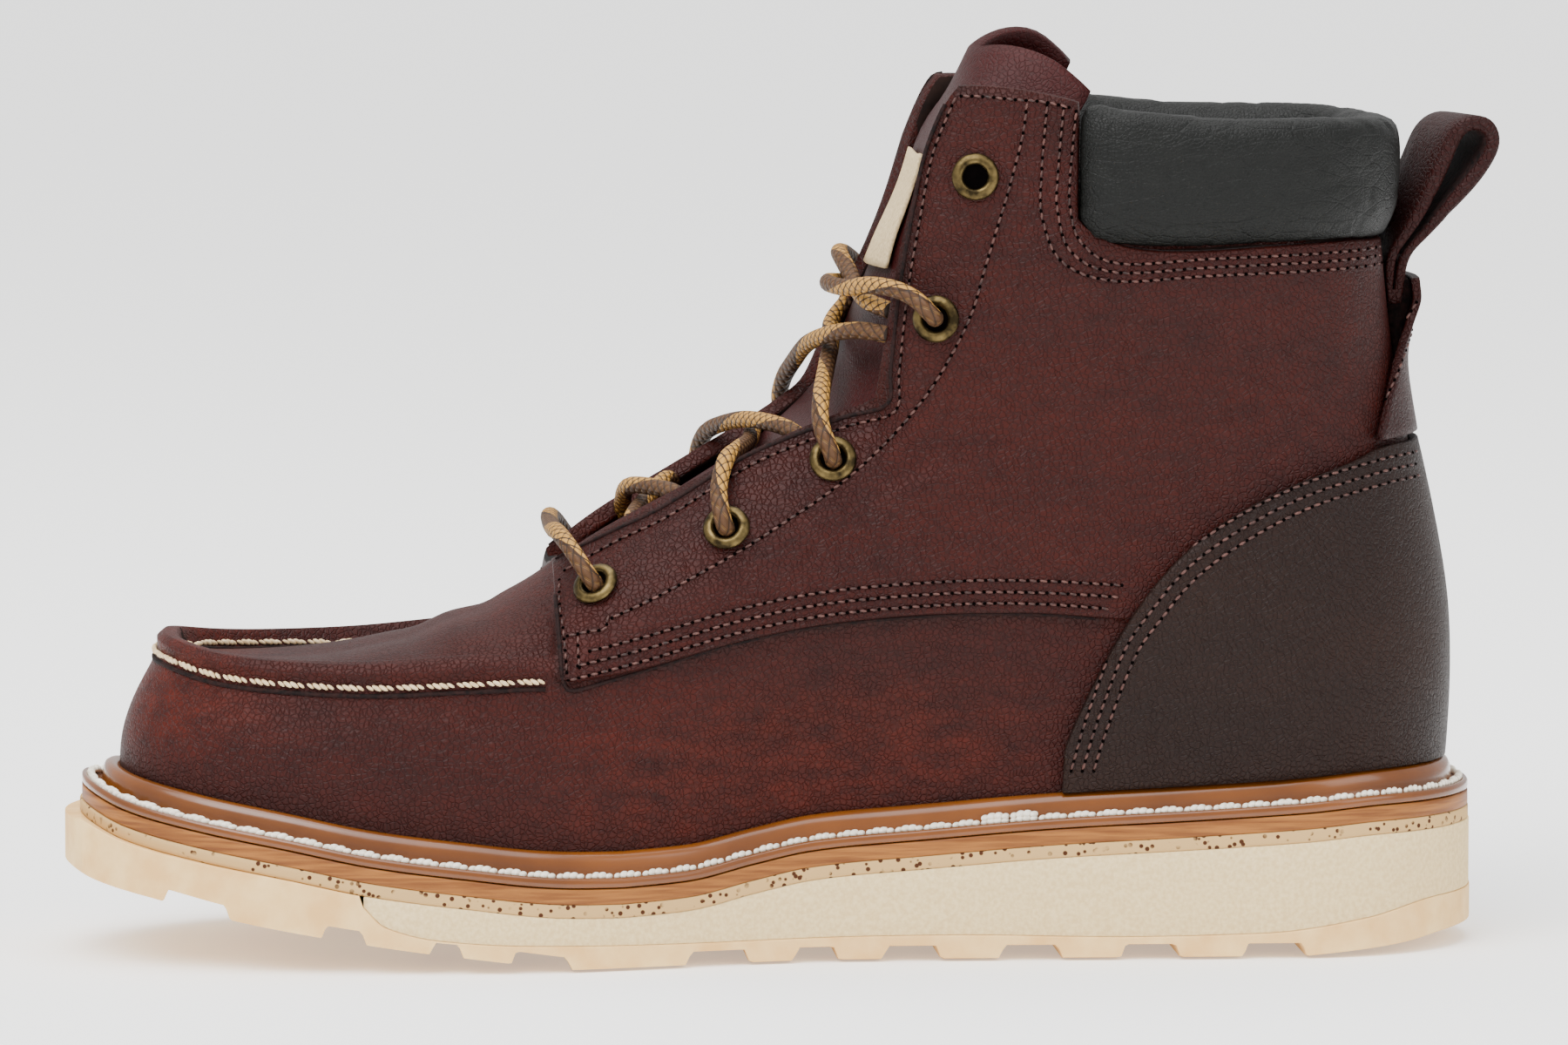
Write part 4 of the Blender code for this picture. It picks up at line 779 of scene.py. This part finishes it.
# Painted shade: leather darker at cut edges, along stitch rows and near the welt; lighter in zones of a most
# and its ramps, partly the oiled leather's pull-up and partly painted highlight
shadeLook = {
    "seamWidth": 2.6,
    "seam": 0.55,
    "rowWidth": 1.5,
    "row": 0.3,
    "sink": 0.22,
    "footRise": 16.0,
    "footOver": 8.0,
    "foot": 0.45,
    "warm": 0.22,
}
pullUpAndHighlightZones = (
    (0.7, ((0, -95, -40), (2, 38, 20))),
    (0.35, ((0, -60, 30), (0, 70, -40), (2, 66, -20))),
    (0.5, ((1, 26, -18), (0, 60, -30), (2, 60, 25))),
)


def kdOf(rows):
    points = [place for row in rows for place in row]
    tree = KDTree(len(points))
    for index, point in enumerate(points):
        tree.insert(point, index)
    tree.balance()
    return tree


def nearRow(point, run):
    # distance in side view from a run of points
    best = 1e9
    for (ax, az), (bx, bz) in zip(run, run[1:]):
        dx, dz = bx - ax, bz - az
        share = min(max(((point[0] - ax) * dx + (point[1] - az) * dz) / (dx * dx + dz * dz), 0), 1)
        best = min(best, math.hypot(point[0] - ax - share * dx, point[1] - az - share * dz))
    return best


def creaseDepth(x, y, z):
    depth = 0.0
    for run, deep, wide, side in creases:
        if side * y >= 0:
            away = nearRow((x, z), run) / wide
            fade = zone((x,), ((0, run[0][0] - wide, creaseFade), (0, run[-1][0] + wide, -creaseFade)))
            depth += deep * math.exp(-away * away) * fade
    vamp = vampCreases
    if vamp["front"] < x < vamp["back"] and z > vamp["foot"] and abs(y) < vamp["half"]:
        for middle, deep, wide in vamp["rows"]:
            away = (x - middle - vamp["bend"] * y * y) / wide
            depth += deep * math.exp(-away * away) * ease((vamp["half"] - abs(y)) / vamp["fade"])
    return depth


def dressUpper():
    mesh = upperPiece.data
    mesh.materials.clear()
    for material in (upperLeather, liningLeather):
        mesh.materials.append(material)
    inner = set()
    for face in mesh.polygons:
        if isInner(upperTree, face.center, face.normal):
            face.material_index = 1
            inner.update(face.vertices)
    edges, rows = (
        kdOf([[place for place, _, _ in sideRun(upperTree, row, side, 1.5 * mm)]
              for side in (-1, 1) for row in rowsOf(table, side)])
        for table in (cutEdges, brownRows)
    )
    for key in ("warm", "seam"):
        mesh.attributes.new(key, "FLOAT", "POINT")
    warm, seam = mesh.attributes["warm"].data, mesh.attributes["seam"].data
    look = shadeLook
    pushes = []
    for vertex in mesh.vertices:
        x, y, z = vertex.co / mm
        edge = ease(1 - edges.find(vertex.co)[2] / mm / look["seamWidth"])
        row = ease(1 - rows.find(vertex.co)[2] / mm / look["rowWidth"])
        foot = ease((platform(x) + look["footRise"] - z) / look["footOver"])
        # warm: partly pull-up of the oiled leather, partly painted highlight where the top light falls on
        # the toe and the vamp
        lighter = sum(most * zone((x, abs(y), z), ramps) for most, ramps in pullUpAndHighlightZones)
        warm[vertex.index].value = min(look["warm"] + lighter, 1.0)
        # seam holds painted shade: darker near cut edges, stitch rows and the welt
        seam[vertex.index].value = max(look["seam"] * edge, look["row"] * row, look["foot"] * foot)
        crease = creaseDepth(x, y, z)
        pushes.append(crease if vertex.index in inner else -crease - look["sink"] * row)
    pushed(mesh, pushes)
    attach(upperPiece, "root")
    upperPiece.name = "upperShell"


dressUpper()
print("upper made")

panels = {
    "counter": ("heelCounter", counterLeather, "counter_leather", 35.0),
    "backstay": ("backStay", upperLeather, "upper_leather", 50.0),
    "pull_loop": ("pullLoop", upperLeather, "upper_leather", 72.0),
    "tongue": ("tongueLeather", tongueLeather, "tongue_leather", 50.0),
    "tongue_patch": ("tongueLabel", labelCloth, "label_cloth", 50.0),
}


def makePanels():
    made = {}
    for node, (name, material, slotName, sharp) in panels.items():
        piece = cadCopy(node, 2, sharp=sharp, crease=0.6)
        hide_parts(node)
        made[node] = joinMesh(name, piece, material)
    return made


panelPieces = makePanels()

# The tongue's soft top stands open, its far wing higher than the near one; zones are ramps in millimetres
tongueTop = {
    "zone": ((2, 166, 18), (0, 38, 22)),
    "far": ((1, -20, 40),),
    "rise": (0.6, 5.6),
    "reach": 1.6,
}


def openTongue(look):
    mesh = panelPieces["tongue"].data
    near, far = look["rise"]
    for vertex in mesh.vertices:
        place = vertex.co / mm
        share = zone(place, look["far"])
        rise = near * (1 - share) + far * share
        vertex.co += Vector((look["reach"], 0, rise)) * zone(place, look["zone"]) * mm
    mesh.update()


openTongue(tongueTop)

# Flesh sides: dark lining in the tongue and rough dyed leather inside the loop
fleshSides = {"tongue": (8.0, 75.0, liningLeather), "pull_loop": (0.4, 14.0, cutEdgeAndSeamShade)}


def dressFlesh():
    for node, (near, far, material) in fleshSides.items():
        mesh, tree = panelPieces[node].data, treeOf(panelPieces[node])
        mesh.materials.append(material)
        for face in mesh.polygons:
            reach = tree.ray_cast(face.center + face.normal * 0.3 * mm, face.normal, far * mm)[3]
            face.material_index = 1 if reach is not None and reach > near * mm else 0


dressFlesh()
panelTrees = {node: treeOf(piece) for node, piece in panelPieces.items()}


# The pull loop's sewn ends fill the wedge between the shaft and the backstay
strapTail = {"top": 146.0, "foot": 120.0, "half": 8.5, "rows": 14, "clear": 0.15, "open": 4.0, "behind": 0.2}


def makeStrapTail(look):
    bm = bmesh.new()
    loops = []
    for k in range(look["rows"] + 1):
        z = look["top"] + (look["foot"] - look["top"]) * k / look["rows"]
        inside, outside = [], []
        for share in (-1, -0.5, 0, 0.5, 1):
            y = look["half"] * share
            shaft = upperTree.ray_cast(Vector((look["behind"], y * mm, z * mm)), Vector((-1, 0, 0)))[0]
            cover = panelTrees["backstay"].ray_cast(shaft + Vector((0.1 * mm, 0, 0)), Vector((1, 0, 0)))[0]
            near = shaft.x / mm + look["clear"]
            far = (cover.x / mm if cover else near + look["open"]) - look["clear"]
            inside.append((near, y, z))
            outside.append((max(far, near + 0.1), y, z))
        loops.append([bm.verts.new(Vector(point) * mm) for point in inside + outside[::-1]])
    bridge(bm, loops)
    for loop in (loops[0], loops[-1]):
        bm.faces.new(loop)
    joinMesh("pullLoopEnds", closedMesh("pullLoopEnds", bm), cutEdgeAndSeamShade)


makeStrapTail(strapTail)
print("panels made")


# Padded collar: the solid swells a little by a cloth simulation, then gets its short wrinkles
collarPad = {
    "voxel": 2.4,
    "grow": 0.75,
    "pressure": 4.0,
    "frames": 20,
    "cap": 1.2,
    "crown": 1.5,
    "seam": 9.0,
    "front": 62.5,
    "foot": (150.3, 152.3),
    "back": 131.0,
    "corner": (-1.3, 0, -1.5),
    "cornerZone": ((0, 74.0, -12.0), (2, 163.0, -12.0)),
    "wrinkle": 0.26,
    "crease": 0.12,
    "grain": 7.0,
}


def swollen(piece, look):
    remesh = piece.modifiers.new("even mesh", "REMESH")
    remesh.mode = "VOXEL"
    remesh.voxel_size = look["voxel"] * mm
    bpy.context.view_layer.update()
    applied(piece)
    pushed(piece.data, [look["grow"]] * len(piece.data.vertices))
    before = [vertex.co.copy() for vertex in piece.data.vertices]
    cloth = piece.modifiers.new("cloth", "CLOTH")
    cloth.settings.use_pressure = True
    cloth.settings.uniform_pressure_force = look["pressure"]
    cloth.settings.effector_weights.gravity = 0.0
    cloth.settings.quality = 5
    cloth.point_cache.frame_start = 1
    cloth.point_cache.frame_end = look["frames"]
    for number in range(1, look["frames"] + 1):
        bpy.context.scene.frame_set(number)
    applied(piece)
    bpy.context.scene.frame_set(1)
    for vertex, start in zip(piece.data.vertices, before):
        moved = vertex.co - start
        reach = look["cap"] * mm
        if moved.length > reach:
            moved *= reach / moved.length
        vertex.co = start + moved
    rounded(piece, 1)


def makeCollar(look):
    piece = cadCopy("collar", 0)
    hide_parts("collar")
    swollen(piece, look)
    crown, wrinkle = [], []
    for vertex in piece.data.vertices:
        x, z = vertex.co.x / mm, vertex.co.z / mm
        share = ease((x - look["front"]) / (look["back"] - look["front"]))
        low = z - (look["foot"][0] * (1 - share) + look["foot"][1] * share)
        crown.append(look["crown"] * ease(min(low, x - look["front"]) / look["seam"]))
        spot = vertex.co / (look["grain"] * mm)
        ridge = abs(noise.noise(Vector((spot.x * 0.7 + spot.z * 0.5, spot.y * 0.7, spot.z * 1.2))))
        wrinkle.append(-look["wrinkle"] * ease(1 - ridge / look["crease"]))
    pushed(piece.data, [first + second for first, second in zip(crown, wrinkle)])
    for vertex in piece.data.vertices:
        vertex.co += Vector(look["corner"]) * zone(vertex.co / mm, look["cornerZone"]) * mm
    piece.data.shade_smooth()
    joinMesh("collarPad", piece, padLeather)


makeCollar(collarPad)
print("collar made")


# Sole: layers with far more points round the edge
def closedLoft(name, sections, ring=True):
    bm = bmesh.new()
    loops = [[bm.verts.new(Vector(point) * mm) for point in section] for section in sections]
    bridge(bm, loops + loops[:1] if ring else loops)
    if not ring:
        bm.faces.new(loops[0])
        bm.faces.new(loops[-1])
    bmesh.ops.remove_doubles(bm, verts=bm.verts, dist=0.01 * mm)
    return closedMesh(name, bm)


bandLook = {"stations": 420, "hidden": 9.0, "round": 0.35}


def makeBand(name, low, high, edge, material, node, start=0.0):
    # a layer of the sole: an edge with rounded corners, closed by a wall that the layers hide
    corner = bandLook["round"]
    shape = ((bandLook["hidden"], 0.0, 0.0), (corner, 0.0, 0.0), (0.3 * corner, 0.0, 0.3 * corner),
             (0.0, 0.0, corner), (0.0, 0.33, 0.0), (0.0, 0.66, 0.0), (0.0, 1.0, -corner),
             (0.3 * corner, 1.0, -0.3 * corner), (corner, 1.0, 0.0), (bandLook["hidden"], 1.0, 0.0))
    first = math.acos(1 - 2 * start) / math.pi
    sections = []
    for w in roundSole(bandLook["stations"]):
        if abs(w) < first:
            continue
        section = []
        for inset, rise, extra in shape:
            x, y = plan("sole", w, edge[0] + inset, edge[1] + inset)
            bottom, top = low(x), high(x)
            section.append((x, y, bottom + (top - bottom) * rise + extra * min(1.0, (top - bottom) / 1.5)))
        sections.append(section)
    if first:
        half = sum(1 for w in roundSole(bandLook["stations"]) if w <= -first)
        sections = sections[half:] + sections[:half]
    piece = closedLoft(name, sections, ring=not first)
    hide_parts(node)
    return joinMesh(name, piece, material)


def weltSpan(w):
    # the welt's foot against the upper, its direction outward and its reach
    foot = Vector((*plan("feather", w), 0))
    across = Vector((*plan("sole", w, *soleSizes["midsoleInset"]), 0)) - foot
    return foot, across.normalized(), across.length


def makeWelt():
    # flange with a groove for the stitches and a glossy bead against the upper
    flange, bead, wide = soleSizes["flange"], soleSizes["bead"], soleSizes["beadWidth"]
    top = flange + bead
    sections = []
    for w in roundSole(bandLook["stations"]):
        foot, out, reach = weltSpan(w)
        shape = (
            (reach - 0.1, 0.0), (reach, 0.4), (reach, flange - 0.5), (reach - 0.4, flange),
            (reach - 1.0, flange), (reach - 1.5, flange - 0.6), (wide + 0.6, flange - 0.6),
            (wide + 0.15, flange + 0.2), (wide, flange + 1.6), (0.96 * wide, flange + 2.9),
            (0.84 * wide, top - 1.0), (0.62 * wide, top - 0.25), (0.35 * wide, top),
            (0.1 * wide, top - 0.15), (-0.1 * wide, top - 0.8), (-0.1 * wide, 0.5 * top), (0.0, 0.0),
        )
        section = []
        for away, up in shape:
            point = foot + out * away
            section.append((point.x, point.y, midsoleTop(point.x) + soleSizes["gap"] + up))
        sections.append(section)
    piece = closedLoft("stormWelt", sections)
    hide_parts("welt")
    joinMesh("stormWelt", piece, weltRubber)


treadLook = {
    "stations": 520,
    "across": 26,
    "rib": 0.24,
    "ribFoot": 0.32,
    "slope": 0.0045,
    "rimAt": 0.975,
    "rim": 0.5,
    "round": 0.3,
    "middleTo": 0.3,
    "middleFade": 0.05,
}


def lugLift(side, share):
    lift = 0.0
    for start, end in grooves[side]:
        depth = min((share - start) / treadLook["slope"], (end - share) / treadLook["slope"], 1.0)
        lift = max(lift, ease(depth))
    return soleSizes["lug"] * lift


def makeTread():
    # lugs on both sides of a middle rib, with their rims a little higher
    look = treadLook
    count, corner = look["stations"], look["round"]
    sections = []
    for k in range(1, count):
        w = k / count
        share = (1 - math.cos(math.pi * w)) / 2
        x, innerEdge = plan("sole", -w)
        outerEdge = plan("sole", w)[1]
        middle = (innerEdge + outerEdge) / 2
        middle *= min(max(0.0, 1 - (share - look["middleTo"]) / look["middleFade"]), 1.0)
        floor, top = ground(x), treadTop(x)
        loop = []
        for n in range(look["across"] + 1):
            part = -1 + 2 * n / look["across"]
            side = -1 if part < 0 else 1
            edge = (innerEdge if side < 0 else outerEdge) - middle
            size = abs(part)
            lift = lugLift(side, share) * ease((size - look["rib"]) / (look["ribFoot"] - look["rib"]))
            lift += look["rim"] * ease((size - look["rimAt"]) / (1 - look["rimAt"]))
            loop.append((x, middle + edge * size, floor + lift))
        loop += [(x, outerEdge, top - corner), (x, outerEdge - corner, top), (x, innerEdge + corner, top),
                 (x, innerEdge, top - corner)]
        sections.append(loop)
    piece = closedLoft("treadSole", sections, ring=False)
    piece.data.set_sharp_from_angle(angle=math.radians(40))
    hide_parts("tread")
    joinMesh("treadSole", piece, treadRubber)


def makeSole():
    inset = soleSizes["midsoleInset"]
    makeBand("midsoleLayer", platform, midsoleTop, inset, midsoleEdge, "midsole")
    makeBand("slipSole", slipFoot, platform, (0.4, 3.2), slipFoam, "slip_sole")
    makeBand("wedgeSole", treadTop, slipFoot, (0.2, 0.2), sandFoam, "wedge", soleSizes["wedgeAt"])
    makeWelt()
    makeTread()
    insole = cadCopy("insole", 2, crease=0.6, flatOnly=True)
    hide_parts("insole")
    joinMesh("insoleBoard", insole, boardInsole)


makeSole()
print("sole made")


# Stitches: one tree lays a rounded stitch on every point of a row
stitchInputs = ("Stitch length", "Thread width", "Thread rise", "Lean", "Thread")


def makeStitchTree():
    tree = bpy.data.node_groups.new("stitches along a seam", "GeometryNodeTree")
    face = tree.interface
    face.new_socket("Geometry", in_out="OUTPUT", socket_type="NodeSocketGeometry")
    face.new_socket("Geometry", in_out="INPUT", socket_type="NodeSocketGeometry")
    for name in stitchInputs:
        kind = "NodeSocketMaterial" if name == "Thread" else "NodeSocketFloat"
        face.new_socket(name, in_out="INPUT", socket_type=kind)

    def step(kind, values, **settings):
        return addNode(tree, kind, values, **settings).outputs[0]

    given = addNode(tree, "NodeGroupInput").outputs
    stitch = step("GeometryNodeMeshUVSphere", {"Segments": 8, "Rings": 6, "Radius": 0.5})
    size = step("ShaderNodeCombineXYZ", dict(enumerate(given[1:4])))
    lean = step("ShaderNodeCombineXYZ", {"Z": given["Lean"]})
    stitch = step("GeometryNodeTransform", {"Geometry": stitch, "Scale": size})
    stitch = step("GeometryNodeTransform", {"Geometry": stitch, "Rotation": lean})
    outward = step("GeometryNodeInputNamedAttribute", {"Name": "outward"}, data_type="FLOAT_VECTOR")
    along = step("GeometryNodeInputNamedAttribute", {"Name": "along"}, data_type="FLOAT_VECTOR")
    upright = step("FunctionNodeAlignRotationToVector", {"Vector": outward}, axis="Z")
    turn = {"Rotation": upright, "Vector": along}
    turned = step("FunctionNodeAlignRotationToVector", turn, axis="X", pivot_axis="Z")
    values = {"Points": given["Geometry"], "Instance": stitch, "Rotation": turned}
    laid = step("GeometryNodeInstanceOnPoints", values)
    laid = step("GeometryNodeRealizeInstances", {"Geometry": laid})
    laid = step("GeometryNodeSetShadeSmooth", {"Geometry": laid})
    laid = step("GeometryNodeSetMaterial", {"Geometry": laid, "Material": given["Thread"]})
    addNode(tree, "NodeGroupOutput", {0: laid})
    return tree


stitchTree = makeStitchTree()


def sewRow(name, samples, size, thread):
    # samples: place, direction, outward; size: length, width and rise in millimetres, and the lean
    mesh = bpy.data.meshes.new(name)
    mesh.from_pydata([place for place, _, _ in samples], [], [])
    for key, index in (("along", 1), ("outward", 2)):
        attribute = mesh.attributes.new(key, "FLOAT_VECTOR", "POINT")
        for k, sample in enumerate(samples):
            attribute.data[k].vector = sample[index]
    row = bpy.data.objects.new(name, mesh)
    bpy.context.scene.collection.objects.link(row)
    modifier = row.modifiers.new("stitches", "NODES")
    modifier.node_group = stitchTree
    lengths = [value * mm for value in size[:3]]
    values = dict(zip(stitchInputs, (*lengths, math.radians(size[3]), thread)))
    for item in stitchTree.interface.items_tree:
        if item.name in values:
            modifier[item.identifier] = values[item.name]
    bpy.context.view_layer.update()
    joinMesh(name, applied(row), thread)


def sewBrown():
    stitches, holes = [], []
    trees = {"upper": upperTree, "counter": panelTrees["counter"], "backstay": panelTrees["backstay"]}
    for part, tree in trees.items():
        for side in (-1, 1):
            for row in rowsOf(brownRows, side) if part == "upper" else brownRows[part]:
                run = sideRun(tree, row, side, brownRows["pitch"] / 2 * mm)
                stitches += run[1::2]
                # the points between the stitches get dark lumps in the needle holes: painted shade
                holes += run[0::2]
    sewRow("brownStitches", stitches, brownRows["stitch"], brownThread)
    sewRow("stitchHoleShade", holes, brownRows["hole"], holeShade)


sewBrown()


def makeCutEdges(look):
    bm = bmesh.new()
    end = (Vector((1, 1, 1)), None, None)
    for side in (-1, 1):
        for row in rowsOf(look, side):
            stretch = []
            for place, _, _ in [*sideRun(upperTree, row, side, look["pitch"] * mm), end]:
                if stretch and (place - stretch[-1]).length > look["gap"] * mm:
                    if len(stretch) > 3:
                        addRope(bm, stretch, look["width"] / 2 * mm, look["sides"])
                    stretch = []
                stretch.append(place)
    joinMesh("cutEdges", closedMesh("cutEdges", bm), cutEdgeAndSeamShade)


makeCutEdges(cutEdges)


weltRow = {
    "pitch": 6.2,
    "plies": 4,
    "ply": (2.7, 1.25, 1.7, 34.0),
    "fill": 0.93,
    "bow": 0.35,
    "inset": 1.9,
    "overlap": (38.0, 60.0),
    "lump": 1.0,
}
whipRow = {
    "pitch": 6.3,
    "plies": 4,
    "ply": (2.3, 0.95, 1.1, -30.0),
    "fill": 0.9,
    "bow": 0.35,
    "stop": 0.366,
    "lift": 0.25,
    "rows": ((-0.6, 0.6), (6.6, 3.2)),
    "shade": ((-0.9, -1.0), (6.6, 2.2)),
    "shadePitch": 1.6,
    "shadeRadius": 0.55,
}


def plied(places, look):
    # each stitch is a short piece of twisted thread: slanted plies, thinner at both ends
    samples, thin = [], []
    for before, after in zip(places, places[1:]):
        start, end = before[0], after[0]
        for n in range(look["plies"]):
            share = (n + 0.5) / look["plies"] * look["fill"] + (1 - look["fill"]) / 2
            bow = before[2].lerp(after[2], share) * look["bow"] * mm * math.sin(math.pi * share)
            sample = (start.lerp(end, share) + bow, (end - start).normalized(), before[2])
            (thin if n in (0, look["plies"] - 1) else samples).append(sample)
    return samples, thin


def sewPlied(name, rows, look, thread):
    *lengths, lean = look["ply"]
    for label, factor in (("", 1.0), ("Ends", 0.82)):
        samples = []
        for places in rows:
            samples += plied(places, look)[1 if label else 0]
        sewRow(name + label, samples, (*(factor * length for length in lengths), lean), thread)


def pacedStations(name, first, last, pitch):
    # stations along an outline at an even pitch
    found, carried = [first], 0.0
    before = Vector(plan(name, first))
    steps = 4000
    for k in range(1, steps + 1):
        w = first + (last - first) * k / steps
        here = Vector(plan(name, w))
        carried += (here - before).length
        before = here
        if carried >= pitch:
            found.append(w)
            carried = 0.0
    return found


def sewWelt():
    places = []
    for w in pacedStations("sole", -0.999, 0.999, weltRow["pitch"]):
        foot, out, reach = weltSpan(w)
        place = foot + out * (reach - weltRow["inset"])
        place.z = midsoleTop(place.x) + soleSizes["gap"] + soleSizes["flange"] + 0.05
        places.append((place * mm, None, Vector((0, 0, 1))))
    low, high = weltRow["overlap"]
    doubled = [
        (place + Vector((0, 0, weltRow["lump"] * mm)), None, outward)
        for place, _, outward in places if place.y < 0 and low * mm < place.x < high * mm
    ]
    sewPlied("weltStitches", [places, doubled], weltRow, weltThread)


def seamPoint(w, inward, rise):
    x, y = plan("seam", w, inward, inward)
    return Vector((x, y, soleSizes["boot"] * readRows(profiles["seamLine"], shareOf(x)) + rise)) * mm


def sewWhip(look):
    def along(pitch, spots):
        # the surface's places under a run beside the moc ridge
        stations = pacedStations("seam", -look["stop"], look["stop"], pitch)
        return [[upperTree.find_nearest(seamPoint(w, *spot))[:2] for w in stations] for spot in spots]

    rows = [
        [(place + outward * look["lift"] * mm, None, outward) for place, outward in row]
        for row in along(look["pitch"], look["rows"])
    ]
    sewPlied("whipStitches", rows, look, whipThread)
    # painted shade: a thin dark tube sunk under each row of whip stitches
    bm = bmesh.new()
    for row in along(look["shadePitch"], look["shade"]):
        addRope(bm, [place for place, _ in row], look["shadeRadius"] * mm, 6)
    joinMesh("seamShade", closedMesh("seamShade", bm), cutEdgeAndSeamShade)


sewWelt()
sewWhip(whipRow)
print("rows sewn")


# Eyelets: rolled rings with a dark disc in the hole, painted shade
eyeletLook = {
    "profile": ((2.6, 0.1), (2.75, 0.95), (3.25, 1.35), (3.9, 1.25), (4.6, 0.95), (5.0, 0.45), (5.0, 0.0)),
    "sides": 40,
    "foot": 0.75,
    "hole": (2.62, 0.12),
    "holeSides": 24,
}


def ringFrame(node):
    # an eyelet's middle and its axis, which points away from the boot
    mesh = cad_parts[node].data
    centre = sum((vertex.co for vertex in mesh.vertices), Vector()) / len(mesh.vertices)
    areas = {}
    for face in mesh.polygons:
        key = tuple(round(c, 1) for c in face.normal)
        areas[key] = areas.get(key, 0.0) + face.area
    axis = Vector(max(areas, key=areas.get)).normalized()
    return centre, axis if axis.y * centre.y > 0 else -axis


def eyeletRing(bm, foot, turn, spot, sides):
    radius, height = spot
    angles = [math.tau * k / sides for k in range(sides)]
    places = [Vector((radius * math.cos(a), radius * math.sin(a), height)) for a in angles]
    return [bm.verts.new(foot + turn @ place * mm) for place in places]


def makeEyelets():
    look = eyeletLook
    rings, holes = bmesh.new(), bmesh.new()
    names = sorted(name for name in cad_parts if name.startswith("eyelet"))
    for name in names:
        centre, axis = ringFrame(name)
        turn = axis.to_track_quat("Z", "Y").to_matrix()
        foot = centre - axis * look["foot"] * mm
        loops = [eyeletRing(rings, foot, turn, spot, look["sides"]) for spot in look["profile"]]
        bridge(rings, loops + loops[:1])
        # a near-black disc across the hole: painted shade
        holes.faces.new(eyeletRing(holes, foot, turn, look["hole"], look["holeSides"]))
    piece = closedMesh("eyeletRings", rings)
    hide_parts(*names)
    joinMesh("eyeletRings", piece, antiqueBrass)
    joinMesh("eyeletHoleShade", meshFrom("eyeletHoleShade", holes), holeShade)


makeEyelets()
print("eyelets made")


# Floor and light
stageLook = {
    "floor": "fbfbfa",
    "size": 40,
    "below": 0.0002,
    "sky": 0.95,
    "glow": 0.35,
    "sun": 3,
    "sunAngle": 60,
    "sunTurn": (25, -18, 0),
}


def makeStage(look):
    bm = bmesh.new()
    half = look["size"] / 2
    corners = ((-half, -half), (half, -half), (half, half), (-half, half))
    bm.faces.new([bm.verts.new((x, y, -look["below"])) for x, y in corners])
    floor = meshFrom("floor", bm)
    material, _, shader = newMaterial("matt white paper", 0.9)
    shader.inputs["Base Color"].default_value = hexColour(look["floor"])
    shader.inputs["Emission Color"].default_value = (1, 1, 1, 1)
    shader.inputs["Emission Strength"].default_value = look["glow"]
    floor.data.materials.append(material)
    sun = bpy.data.lights.new("evenDaylight", "SUN")
    sun.energy = look["sun"]
    sun.angle = math.radians(look["sunAngle"])
    lamp = bpy.data.objects.new("evenDaylight", sun)
    lamp.rotation_euler = [math.radians(turn) for turn in look["sunTurn"]]
    bpy.context.scene.collection.objects.link(lamp)
    world = bpy.data.worlds.new("studio")
    world.use_nodes = True
    background = world.node_tree.nodes["Background"]
    background.inputs["Color"].default_value = (1, 1, 1, 1)
    background.inputs["Strength"].default_value = look["sky"]
    bpy.context.scene.world = world


# Lamps: place and width in metres, with the power between them
lamps = {
    "keySoftbox": ((-0.7, -1, 1.5), 20, 1.1),
    "fillSoftbox": ((1.1, -1, 0.9), 9, 1),
    "topSoftbox": ((0, 0.3, 1.6), 16, 1.2),
}


def makeLamps():
    aim = Vector((0.0, 0.0, 0.08))
    for name, (place, power, size) in lamps.items():
        data = bpy.data.lights.new(name, "AREA")
        data.energy = power
        data.size = size
        lamp = bpy.data.objects.new(name, data)
        lamp.location = place
        lamp.rotation_euler = (aim - Vector(place)).to_track_quat("-Z", "Y").to_euler()
        bpy.context.scene.collection.objects.link(lamp)


makeStage(stageLook)
makeLamps()
print("stage made")
